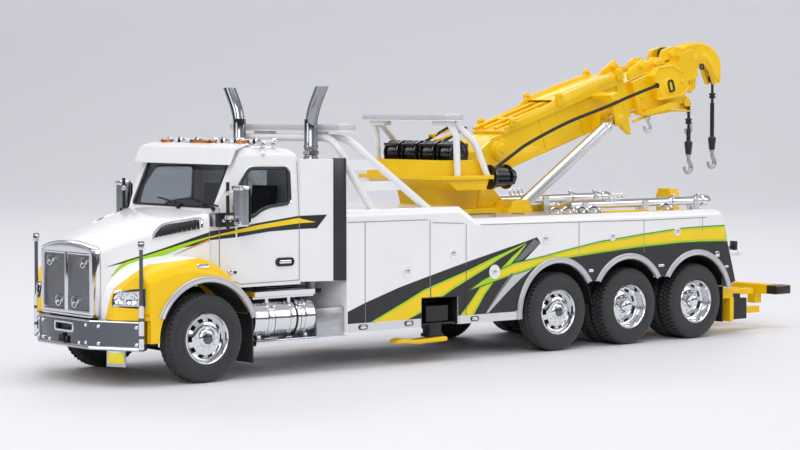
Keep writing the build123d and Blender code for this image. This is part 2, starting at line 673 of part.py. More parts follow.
TUBE_Z = DECK_Z + 3.7
TUBE_R = 1.25


def deck_tubes():
    shape = Part()
    # columns: side, front x, rear x
    for side, x0, x1 in ((-1, 121.0, 173.6), (1, 121.0, 173.6)):
        y = side * 20.0
        shape += bar((x0, y, TUBE_Z), (x1, y, TUBE_Z), TUBE_R)
        for x in (x0 + 5.0, x0 + 28.0, x1 - 4.0):
            shape += block(x - 1.0, x + 1.0, y - 1.5, y + 1.5, DECK_Z, TUBE_Z + 0.6)
    return shape


def turret_ring():
    ring = Pos(TURRET_X, 0, 0) * bar((0, 0, DECK_Z), (0, 0, TURRET_Z - FIT), 11.0)
    return ring - Pos(TURRET_X, 0, 0) * bar((0, 0, DECK_Z), (0, 0, TURRET_Z), SPIGOT_R + FIT)


def rear_frame():
    shape = block(178.6, 186.6, -22.5, 22.5, 10.4, 13.2) - block(183.6, 190, -23, 23, 9, 12)
    shape -= block(179.6, 190, -3.4, 3.4, 9, 11.6)
    side = block(182.4, 184.0, 17.6, 22.5, 3.7, 10.6)
    side += block(178.7, 181.0, RAIL_IN, RAIL_OUT, 10.4, RAIL_LOW)
    side += block(183.0, 200.0, 13.0, 15.6, 10.4, 12.0)
    side += block(184.0, 201.0, 15.4, 17.2, 5.0, 6.8) + block(182.4, 186.0, 15.4, 17.2, 5.0, 10.6)
    return shape + both(side) + underlift_mast() + underlift_bracket()


def underlift_mast():
    shape = block(177.8, 182.4, -2.4, 2.4, 12.8, 39.0)
    shape += front_prism([(-3.2, 38.4), (3.2, 38.4), (2.2, 41.3), (-2.2, 41.3)], 178.3, 182.0)
    shape += block(175.4, 178.0, -RAIL_IN, RAIL_IN, RAIL_LOW + 0.1, RAIL_TOP - 0.1)
    return shape


def tail_lamps():
    shape = block(182.6, 183.4, 18.0, 22.0, 16.0, 20.5)
    shape += bar((178.4, 21.6, 22.4), (187.0, 21.6, 23.4), 0.6) + bar((186.0, 21.6, 23.4), (187.6, 21.6, 23.4), 1.0)
    shape += block(178.4, 183.0, 20.0, 22.0, 16.5, 20.0)
    return both(shape)


# ---------------------------------------------------------------- turret
def turret_base():
    body = side_prism([(86.0, TURRET_Z), (84.0, 43.3), (104.0, 43.3), (108.5, 39.4), (108.5, TURRET_Z)], -8.0, 8.0)
    body += block(88.0, 112.0, -12.0, 12.0, TURRET_Z, 38.0) - block(107.0, 114, 9.4, 13.6, 30, 50) \
        - block(107.0, 114, -13.6, -9.4, 30, 50)
    cheek = side_prism([(95.5, 43.2), (95.5, 48.6), (97.2, 52.8), (100.6, 53.2), (104.4, 56.0), (109.6, 56.0),
                        (110.8, 51.0), (107.0, 43.2), (103.0, 42.0)], 5.9, 7.2)
    body += bar((TURRET_X, 0, DECK_Z + 0.5), (TURRET_X, 0, TURRET_Z + 1), SPIGOT_R)
    body += both(cheek) + both(block(99.0, 104.0, 5.9, 8.0, 42.0, 44.5))
    body += lateral(HINGE_X, HINGE_Z, HINGE_R, -8.4, 8.4) + both(lateral(HINGE_X, HINGE_Z, 2.6, 7.1, 8.4))
    ear = side_prism([(104.0, TURRET_Z), (105.4, 39.4), (108.0, 40.2), (111.4, 40.0), (112.8, TURRET_Z)], 13.6, 14.6)
    inner = side_prism([(104.0, TURRET_Z), (105.4, 39.4), (108.0, 40.2), (111.4, 40.0), (112.8, TURRET_Z)], 8.2, 9.4)
    foot = block(104.0, 107.0, 8.0, 14.6, TURRET_Z, 38.0)
    body += both(ear + inner + foot + lateral(CYL_X, CYL_Z, CYL_PIN_R, 8.2, 14.6))
    return body + winch_tray()


def winch_tray():
    flange = block(78.6, 96.2, -17.5, 17.5, 46.0, 46.7)
    keel = side_prism([(84.2, 43.2), (80.0, 46.1), (95.4, 46.1), (94.2, 43.2)], -16.6, 16.6)
    box = side_prism([(79.4, 46.6), (81.0, 51.0), (95.6, 51.0), (95.6, 46.6)], -15.4, 15.4)
    box -= block(81.2, 94.4, -14.2, 14.2, 48.0, 60)
    return flange + keel + box


WINCH_X = 87.4
WINCH_Z = 52.7


def winches():
    shape = Part()
    for y in (-11.0, -3.7, 3.7, 11.0):
        shape += lateral(WINCH_X, WINCH_Z, 2.2, y - 2.6, y + 2.6)
        for end in (-2.6, 2.1):
            shape += lateral(WINCH_X, WINCH_Z, 3.3, y + end, y + end + 0.5)
            shape += block(WINCH_X - 3.3, WINCH_X + 3.3, y + end, y + end + 0.5, 48.0, WINCH_Z)
    shape += block(WINCH_X - 4.0, WINCH_X + 4.0, -14.0, 14.0, 48.0, 49.0)
    return shape + winch_lines()


def winch_arch():
    y = 16.4
    front = tube([(84.5, y, 46.0), (84.0, y, 57.6), (82.4, y - 1.0, 60.9)], 3.0, 0.9)
    rear = tube([(95.1, y, 46.0), (90.6, y, 55.4), (84.2, y - 1.0, 60.9)], 5.0, 0.9)
    return both(front + rear) - block(70, 100, -20, 20, 40, 46.7)


def arch_light_bar():
    top = fillet(block(79.4, 85.6, -19.0, 19.0, 61.2, 63.0).edges().filter_by(Axis.Z), 2.0)
    shape = top + block(80.4, 84.8, -16.0, 16.0, 60.0, 61.3)
    return shape - winch_arch()


def side_winches():
    y, z = 15.0, 46.4
    shape = bar((97.0, y, z), (102.8, y, z), 2.2)
    for x in (96.6, 102.2):
        shape += bar((x, y, z), (x + 0.7, y, z), 3.3)
    shape += bar((102.8, y, z), (105.6, y, z), 1.3)
    shape += block(96.2, 97.2, 12.2, 17.4, 45.0, 47.6)
    return both(shape)


def winch_lines():
    shape = Part()
    for y in (-3.7, 3.7):
        shape += bar((WINCH_X + 1.0, y, WINCH_Z + 2.0), (98.6, y, 59.4), 0.4)
    return shape


# ---------------------------------------------------------------- boom, drawn along its own length
MAIN_BOX = (5.6, -6.3, 3.6)          # half width, low, high
MAIN_U = (-6.0, 52.0)
WALL = 0.5


def box_section(u0, u1, size, grow=0.0):
    half, low, high = size
    return block(u0, u1, -half - grow, half + grow, low - grow, high + grow)


def nested(size):
    """The section that slides inside another one."""
    half, low, high = size
    step = WALL + FIT
    return half - step, low + step, high - step


MID_BOX = nested(MAIN_BOX)
TIP_BOX = nested(MID_BOX)
MID_U = (6.0, 74.0)
TIP_U = (12.0, 84.0)
HEAD_U = 61.6              # front face of the head's side boxes


def boom_main():
    u0, u1 = MAIN_U
    shape = box_section(u0, u1, MAIN_BOX) - box_section(u0 + 9.0, u1 + 1, MAIN_BOX, -WALL)
    shape -= side_prism([(-7, 4), (-7, 0), (0, 3.7), (0, 4)], -9, 9)
    shape -= lateral(0, 0, HINGE_R + PIN_FIT, -9, 9)
    # end collar, rod-eye brackets and top guides
    collar = box_section(u1 - 3.0, u1, MAIN_BOX, 0.5) - box_section(u1 - 4.0, u1 + 1, MAIN_BOX, -WALL)
    shape += collar
    bracket = side_prism([(EYE_U - 4.5, -6.3), (EYE_U - 2.0, -1.5), (EYE_U + 2.0, -1.5), (EYE_U + 5.0, -6.3)],
                         5.5, 8.8)
    shape += both(bracket + lateral(EYE_U, EYE_W, CYL_PIN_R, 8.6, 13.2))
    shape += both(side_prism([(46.0, -1.0), (47.0, -8.6), (49.4, -11.4), (50.4, -1.0)], 5.5, 7.2))
    for u in (12.0, 26.0, 40.0, 50.0):
        shape += block(u - 0.5, u + 0.5, -5.0, 5.0, 3.5, 5.6)
    for y in (-4.4, 0.0, 4.4):
        shape += bar((3.0, y, 5.4), (54.0, y, 5.4), 0.45)
    # top plate standing out past the sides, and the outer plates that hold the rod eyes
    shape += block(4.0, u1, -6.3, 6.3, 3.4, 4.3)
    shape += both(side_prism([(38.8, -5.4), (38.6, 3.4), (41.8, 3.4), (41.8, -5.4)], 13.0, 13.8))
    shape += both(block(38.6, 41.8, 5.5, 13.8, 2.6, 3.6))
    return on_boom(shape)


def boom_mid():
    u0, u1 = MID_U
    shape = box_section(u0, u1, MID_BOX) - box_section(u0 - 1, u1 + 1, MID_BOX, -WALL)
    # side sheave housings and the lower nose that carries the first line
    housing = side_prism([(55.0, -7.4), (55.0, 2.4), (64.0, 2.6), (71.0, 1.0), (72.0, -4.6), (77.4, -10.6),
                          (75.6, -12.2), (66.0, -8.6)], MID_BOX[0] - 0.1, 6.4)
    # the deeper box at the head, its crest falling to the nose, and the flange under the side
    housing += side_prism([(HEAD_U, -4.6), (HEAD_U, 2.2), (64.2, 3.9), (69.6, 2.9), (73.6, -0.4), (75.0, -5.0),
                           (71.0, -6.4), (66.0, -5.4)], 6.3, 8.6)
    housing += side_prism([(55.0, -7.6), (55.0, -6.6), (66.0, -7.0), (69.0, -8.0), (69.0, -9.2), (66.0, -9.0)],
                          6.2, 8.2)
    housing -= block(71.6, 79.0, 5.3, 6.5, -13.0, -9.3)
    housing += lateral(*LINE_1, 0.4, 5.0, 6.6)
    return on_boom(shape + both(housing))


LINE_1 = (75.7, -10.8)     # where the first line hangs, along and across the boom
LINE_2 = (93.6, -8.6)
LINE_1_Y = -5.9
LINE_2_Y = 0.0


def boom_tip():
    u0, u1 = TIP_U
    shape = box_section(u0, u1, TIP_BOX)
    goose = side_prism([(80.0, -7.6), (80.0, 1.6), (82.4, 3.9), (86.0, 4.1), (90.0, 3.1), (93.6, 0.8), (95.4, -2.4),
                        (95.6, -5.6), (94.6, -9.7), (92.2, -9.6), (91.6, -5.2), (90.0, -2.8), (87.4, -1.6),
                        (85.4, -3.6), (83.8, -8.0), (81.6, -9.0)], 0.9, 2.2)
    # sheave housing standing on the end of the tip
    crown = side_prism([(71.6, 3.4), (72.2, 5.2), (73.6, 6.5), (77.8, 6.4), (80.6, 4.8), (83.0, 3.8), (83.0, 1.8),
                        (74.8, 1.8), (74.8, 3.4)], 1.6, 3.0)
    shape += both(crown) + lateral(76.0, 4.6, 0.9, -3.4, 3.4)
    shape += both(goose)
    shape += lateral(88.0, 0.4, 1.6, -2.0, 2.0) + lateral(*LINE_2, 0.4, -2.0, 2.0)
    shape += both(block(78.0, 84.0, 0.9, TIP_BOX[0], -3.0, 3.6))
    return on_boom(shape)


def hook_line(u, w, y, length):
    """A short line, its sleeve and socket, and the forged hook; hangs straight down."""
    x, top = boom_point(u, w)
    ring = lateral(x, top, 0.95, y - 0.5, y + 0.5) - lateral(x, top, 0.5, y - 1, y + 1)
    shape = ring + bar((x, y, top - 0.8), (x, y, top - length + 8.5), 0.45)
    shape += bar((x, y, top - 5.2), (x, y, top - 4.0), 0.8)
    shape += bar((x, y, top - length + 5.4), (x, y, top - length + 8.8), 1.1)
    z = top - length
    path = FilletPolyline((x, y, z + 5.6), (x + 0.9, y, z + 2.4), (x + 0.9, y, z + 0.4), (x - 1.5, y, z + 0.4),
                          (x - 1.5, y, z + 1.8), radius=[0.5, 0.85, 0.85])
    start = Plane(origin=path @ 0, z_dir=path % 0)
    return shape + sweep(start * Circle(0.4), path=path)


def hook_near():
    return hook_line(*LINE_1, LINE_1_Y, 19.6)


def hook_far():
    return hook_line(*LINE_2, LINE_2_Y, 26.0)


def cylinder_axis():
    ex, ez = boom_point(EYE_U, EYE_W)
    length = hypot(ex - CYL_X, ez - CYL_Z)
    return (ex - CYL_X) / length, (ez - CYL_Z) / length, length


def along_cylinder(distance, y):
    dx, dz, _ = cylinder_axis()
    return CYL_X + dx * distance, y, CYL_Z + dz * distance


def lift_barrels():
    y = CYL_Y
    shape = lateral(CYL_X, CYL_Z, 1.45, y - 1.8, y + 1.8)
    shape += bar(along_cylinder(0.8, y), along_cylinder(BARREL_LEN, y), BARREL_R)
    shape -= bar(along_cylinder(3.0, y), along_cylinder(BARREL_LEN + 1, y), ROD_BAR_R + 0.1)
    shape -= lateral(CYL_X, CYL_Z, CYL_PIN_R + PIN_FIT, y - 3, y + 3)
    return both(shape)


def lift_rods():
    y = CYL_Y
    ex, ez = boom_point(EYE_U, EYE_W)
    _, _, length = cylinder_axis()
    bore = CYL_PIN_R + EYE_DRIFT
    shape = bar(along_cylinder(8.0, y), along_cylinder(length, y), ROD_BAR_R)
    shape += lateral(ex, ez, bore + 0.6, y - 1.1, y + 1.1)
    shape -= lateral(ex, ez, bore, y - 3, y + 3)
    return both(shape)


def side_line():
    """The line from the near side winch up to the boom's side housing."""
    end_x, end_z = boom_point(HEAD_U - 0.3, 0.4)
    return bar((102.0, -11.2, 48.6), (end_x, -7.6, end_z), 0.5)


# ---------------------------------------------------------------- outriggers and underlift
BEAM_X = (67.4, 74.8)
BEAM_Z = (10.4, 14.4)


def outrigger_housing():
    x0, x1 = BEAM_X
    z0, z1 = BEAM_Z
    shape = block(x0 - 0.9, x1 + 0.9, -18.6, 18.6, z0 - 0.9, z1 + 0.9)
    shape -= block(x0 - FIT, x1 + FIT, -30, 30, z0 - FIT, z1 + FIT)
    return shape


def outrigger_beam():
    """Right-hand beam with the sleeve of its jack leg at the outer end."""
    x0, x1 = BEAM_X
    z0, z1 = BEAM_Z
    shape = block(x0, x1, 1.0, 24.0, z0, z1)
    shape -= block(69.0 - FIT, 73.2 + FIT, 20.4 - FIT, 23.4 + FIT, z0 - 1, z1 + 1)
    return shape


def outrigger_leg():
    x0, x1 = 69.0, 73.2
    leg = block(x0, x1, 20.4, 23.4, 6.4, BEAM_Z[1])
    foot = side_prism([(57.4, 5.2), (56.8, 5.8), (61.0, 6.6), (74.4, 6.6), (74.4, 5.4), (61.4, 5.4)], 19.2, 24.6)
    return leg + foot


def rear_leg():
    """Right-hand rear jack: a leg sliding down behind its guide plate."""
    return block(184.0 + FIT, 190.2, 18.2, 21.9, 4.1, 10.1) + block(184.0 + FIT, 188.0, 18.8, 21.4, 10.0, 11.4)


ARM_PIVOT = (182.0, 8.6)


def underlift_arm():
    x, z = ARM_PIVOT
    shape = block(x, TAIL_X - 7.0, -2.6, 2.6, z - 1.6, z + 1.6) + lateral(x, z, 1.6, -2.6, 2.6)
    shape -= lateral(x, z, 0.8 + PIN_FIT, -4, 4)
    shape -= block(x + 4.0, TAIL_X - 6.0, -2.1, 2.1, z - 1.1, z + 1.1)
    return shape


def underlift_bracket():
    """Ears under the rear frame that hold the arm's pivot."""
    x, z = ARM_PIVOT
    ear = side_prism([(x - 2.4, 10.6), (x - 1.8, z - 1.4), (x + 1.4, z - 1.4), (x + 1.4, 10.6)], 2.9, 4.4)
    return both(ear) + lateral(x, z, 0.8, -4.4, 4.4) + both(block(x - 3.4, x + 1.4, 2.9, 4.4, 10.3, 10.6))


SWIVEL_X = TAIL_X - 3.6     # upright pin that the cross bar swings on
SWIVEL_R = 0.9


def underlift_slide():
    z = ARM_PIVOT[1]
    shape = block(188.0, SWIVEL_X + 1.2, -1.8, 1.8, z - 0.8, z + 0.8)
    shape += bar((SWIVEL_X, 0, z - 0.8), (SWIVEL_X, 0, z + 2.2), SWIVEL_R)
    return shape


def cross_bar():
    z = ARM_PIVOT[1]
    shape = block(TAIL_X - 5.4, TAIL_X - 1.0, -16.0, 16.0, z + 1.4, z + 4.2)
    shape -= bar((SWIVEL_X, 0, z), (SWIVEL_X, 0, z + 6), SWIVEL_R + PIN_FIT)
    shape += both(block(TAIL_X - 6.0, TAIL_X, 15.9, 20.4, z + 1.6, z + 4.0))
    shape += both(block(TAIL_X - 5.0, TAIL_X - 2.2, 8.0, 11.0, z - 1.6, z + 1.5))
    return shape


# ---------------------------------------------------------------- pieces and their files
def right_and_left(name, make):
    return {name + "_right": make, name + "_left": lambda: mirror(make(), about=Plane.XZ)}


PIECES = {
    "chassis_frame": chassis_frame, "axle_housings": axle_housings, "engine_block": engine_block,
    "front_bumper": front_bumper, "hood_shell": hood_shell, "front_fenders": front_fenders,
    "headlamps": headlamps, "grille": grille, "cab_shell": cab_shell, "cab_glass": cab_glass,
    "cab_interior": cab_interior, "sun_visor": sun_visor, "roof_fittings": roof_fittings, "mirrors": mirrors,
    "side_panels": side_panels, "exhaust_stacks": exhaust_stacks, "fuel_tanks": fuel_tanks,
    "mud_flaps": mud_flaps, "tow_body": tow_body, "body_trims": body_trims, "light_pylon": light_pylon,
    "pylon_light_bar": pylon_light_bar, "deck_tubes": deck_tubes, "rear_frame": rear_frame,
    "tie_rod": tie_rod, "tyres_pusher": pusher_tyres, "rims_pusher": pusher_rims,
    "tyres_drive_front": lambda: drive_tyres(DRIVE_1_X), "rims_drive_front": lambda: drive_rims(DRIVE_1_X),
    "tyres_drive_rear": lambda: drive_tyres(DRIVE_2_X), "rims_drive_rear": lambda: drive_rims(DRIVE_2_X),
    "turret_base": turret_base, "winches": winches, "winch_arch": winch_arch,
    "arch_light_bar": arch_light_bar, "side_winches": side_winches,
    "boom_main": boom_main, "side_line": side_line, "boom_mid": boom_mid, "boom_tip": boom_tip,
    "hook_near": hook_near, "hook_far": hook_far, "lift_barrels": lift_barrels, "lift_rods": lift_rods,
    "underlift_arm": underlift_arm, "underlift_slide": underlift_slide, "cross_bar": cross_bar,
}


def save(name, shape):
    export_step(Pos(-ORIGIN_X, 0, 0) * shape, f"parts/{name}.step")


def main():
    os.makedirs("parts", exist_ok=True)
    pairs = {}
    for name, make in (("knuckle", kingpin_knuckle), ("tyre_front", front_tyre), ("rim_front", front_rim),
                       ("outrigger_beam", outrigger_beam), ("outrigger_leg", outrigger_leg), ("rear_leg", rear_leg)):
        pairs.update(right_and_left(name, make))
    for name, make in {**PIECES, **pairs}.items():
        save(name, make())


main()
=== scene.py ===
"""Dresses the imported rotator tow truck, a 1:50 die-cast model, with its paint, plating, rubber and small fittings."""

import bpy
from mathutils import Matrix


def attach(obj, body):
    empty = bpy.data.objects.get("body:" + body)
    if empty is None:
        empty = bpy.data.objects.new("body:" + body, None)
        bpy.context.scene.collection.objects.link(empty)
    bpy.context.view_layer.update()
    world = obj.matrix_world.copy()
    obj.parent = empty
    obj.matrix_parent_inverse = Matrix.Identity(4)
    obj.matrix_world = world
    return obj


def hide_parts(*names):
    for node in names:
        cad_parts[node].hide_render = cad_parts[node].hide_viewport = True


bl_info = {
    "name": "Rotator tow truck finish",
    "version": (1, 0, 0),
    "blender": (4, 5, 0),
    "location": "3D View > Sidebar > Tow truck",
    "description": "Paint, plating, tyres, stripes and small fittings of a die-cast rotator tow truck",
    "category": "Object",
}

from math import acos, cos, degrees, pi, radians, sin, sqrt

import bmesh
import bpy
from mathutils import Matrix, Vector
from mathutils.bvhtree import BVHTree

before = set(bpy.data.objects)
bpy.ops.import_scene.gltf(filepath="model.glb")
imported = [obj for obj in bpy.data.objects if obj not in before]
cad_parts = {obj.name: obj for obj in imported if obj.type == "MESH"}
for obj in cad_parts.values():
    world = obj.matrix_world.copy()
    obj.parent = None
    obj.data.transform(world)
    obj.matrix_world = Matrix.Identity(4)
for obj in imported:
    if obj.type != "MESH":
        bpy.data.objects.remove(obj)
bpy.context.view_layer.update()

MM = 0.001
AXLE_X = -93.5             # the steered axle's place in the frame; lengths below are counted from it
TYRE_R = 10.5
RIM_R = 6.1
TYRE_W = 5.7
TRACK_Y = 24.5
DUAL_GAP = 0.8
PUSHER_X, DRIVE_1_X, DRIVE_2_X = 113.2, 140.1, 166.4
ARCH_XS = (PUSHER_X - 1.0, DRIVE_1_X - 1.4, DRIVE_2_X - 0.9)
BODY_Y, CAB_Y, ROOF_Z = 25.0, 20.8, 55.3
HINGE_X, HINGE_Z, BOOM_ANGLE = 107.0, 53.0, 17.6


# ---------------- colour and nodes
def rgb(code):
    """An sRGB hex colour as the linear values that shaders use."""
    values = [int(code[i:i + 2], 16) / 255 for i in (0, 2, 4)]
    return tuple(v / 12.92 if v <= 0.04045 else ((v + 0.055) / 1.055) ** 2.4 for v in values)


def add(tree, kind, inputs=None, stops=(), **settings):
    """One node with its settings. Inputs give a socket its value or its source, stops a colour ramp its colours."""
    node = tree.nodes.new(kind)
    for key, value in settings.items():
        setattr(node, key, value)
    for key, value in (inputs or {}).items():
        if isinstance(value, bpy.types.NodeSocket):
            tree.links.new(value, node.inputs[key])
        else:
            node.inputs[key].default_value = value
    for k, (place, colour) in enumerate(stops):
        row = node.color_ramp.elements
        one = row[k] if k < 2 else row.new(place)
        one.position, one.color = place, (*colour, 1)
    return node


def material(name, **shader):
    """A new material with its shader's own sockets set; returns it, its tree, the shader and mm coordinates."""
    made = bpy.data.materials.new(name)
    made.use_nodes = True
    tree = made.node_tree
    main = tree.nodes["Principled BSDF"]
    for key, value in shader.items():
        socket = main.inputs[key.replace("_", " ").title().replace("Ior", "IOR")]
        socket.default_value = (*value, 1) if isinstance(value, tuple) else value
    place = add(tree, "ShaderNodeTexCoord").outputs["Object"]
    return made, tree, main, place


def mottle(tree, main, place, size, detail, spread, colour, dark):
    """Colour that darkens in patches of a size in mm; returns the patches."""
    patches = add(tree, "ShaderNodeTexNoise", {"Vector": place, "Scale": 1 / (size * MM), "Detail": detail}).outputs[0]
    shade = tuple(c * dark for c in colour)
    tone = add(tree, "ShaderNodeValToRGB", {0: patches}, ((0.5 - spread, shade), (0.5 + spread, colour)))
    tree.links.new(tone.outputs[0], main.inputs["Base Color"])
    return patches


def grain(tree, main, place, size, detail, strength, height=0.05):
    """Fine relief felt in the gloss, with grains of a size and a height in mm."""
    fine = add(tree, "ShaderNodeTexNoise", {"Vector": place, "Scale": 1 / (size * MM), "Detail": detail})
    bump = add(tree, "ShaderNodeBump", {"Height": fine.outputs[0], "Strength": strength, "Distance": height * MM})
    tree.links.new(bump.outputs[0], main.inputs["Normal"])


def sprayed(name, colour, peel=0.03, grime=0.05, **shader):
    """Sprayed enamel: colour a little uneven, a faint orange peel in the gloss."""
    made, *parts = material(name, **shader)
    mottle(*parts, 14, 3.0, 0.15, colour, 1 - grime)
    grain(*parts, 0.5, 2.0, peel)
    return made


def plated(name, colour, smudge=0.08, **shader):
    """Bright plating: a mirror whose gloss is broken by faint smudges and ripples."""
    made, *parts = material(name, base_color=colour, metallic=1.0, **shader)
    tree, main, place = parts
    blot = add(tree, "ShaderNodeTexNoise", {"Vector": place, "Scale": 1 / (6 * MM), "Detail": 4.0})
    base = main.inputs["Roughness"].default_value
    gloss = add(tree, "ShaderNodeMapRange", {"Value": blot.outputs[0], "To Min": base, "To Max": base + smudge})
    tree.links.new(gloss.outputs[0], main.inputs["Roughness"])
    grain(*parts, 1.6, 1.0, 0.12, 0.03)
    return made


def brushed(name, colour, along, **shader):
    """Metal with fine lines drawn along one direction; along gives the stretch of the grain in x, y, z."""
    made, tree, main, place = material(name, metallic=1.0, **shader)
    drawn = add(tree, "ShaderNodeMapping", {"Vector": place, "Scale": along})
    lines = mottle(tree, main, drawn.outputs[0], 0.25, 2.0, 0.2, colour, 0.8)
    bump = add(tree, "ShaderNodeBump", {"Height": lines, "Strength": 0.15, "Distance": 0.03 * MM})
    tree.links.new(bump.outputs[0], main.inputs["Normal"])
    return made


def moulded(name, colour, grit, depth, **shader):
    """Moulded plastic or rubber: an even colour dulled in spots, with a fine moulded grain."""
    made, *parts = material(name, **shader)
    mottle(*parts, 5, 5.0, 0.2, colour, 0.75)
    grain(*parts, grit, 2.0, depth)
    return made


def clear(name, colour, flow=3, depth=0.05, **shader):
    """Moulded polystyrene that lets light through and keeps a hard gloss, with faint lines of flow."""
    made, *parts = material(name, base_color=colour, ior=1.5, **shader)
    grain(*parts, flow, 1.0, depth, 0.03)
    return made


def masked(made, colour):
    """A second colour sprayed above a masked edge that climbs round the front of the fender."""
    tree = made.node_tree
    main = tree.nodes["Principled BSDF"]
    place = add(tree, "ShaderNodeTexCoord").outputs["Object"]
    axes = add(tree, "ShaderNodeSeparateXYZ", {0: place}).outputs

    def step(operation, *values):
        return add(tree, "ShaderNodeMath", dict(enumerate(values)), operation=operation).outputs[0]

    # the way round the fender's front, in mm: 0.6 of x and 0.8 of y from the inner end of the headlamp
    side = step("ABSOLUTE", axes["Y"])
    nose = step("MULTIPLY_ADD", axes["X"], 0.6 / MM, 0.6 * (21.6 - AXLE_X) - 0.8 * 16.6)
    along = step("MULTIPLY_ADD", side, 0.8 / MM, nose)
    # the edge is the lowest of three straight lines
    edge = None
    for slope, start in ((3.4, 23.1), (0.733, 22.67), (0.12, 27.35)):
        line = step("MULTIPLY_ADD", along, slope, start)
        edge = line if edge is None else step("MINIMUM", edge, line)
    over = step("GREATER_THAN", step("MULTIPLY", axes["Z"], 1 / MM), edge)
    base = main.inputs["Base Color"].links[0].from_socket
    both = add(tree, "ShaderNodeMix", {0: over, 6: base, 7: (*colour, 1)}, data_type="RGBA")
    tree.links.new(both.outputs[2], main.inputs["Base Color"])
    return made


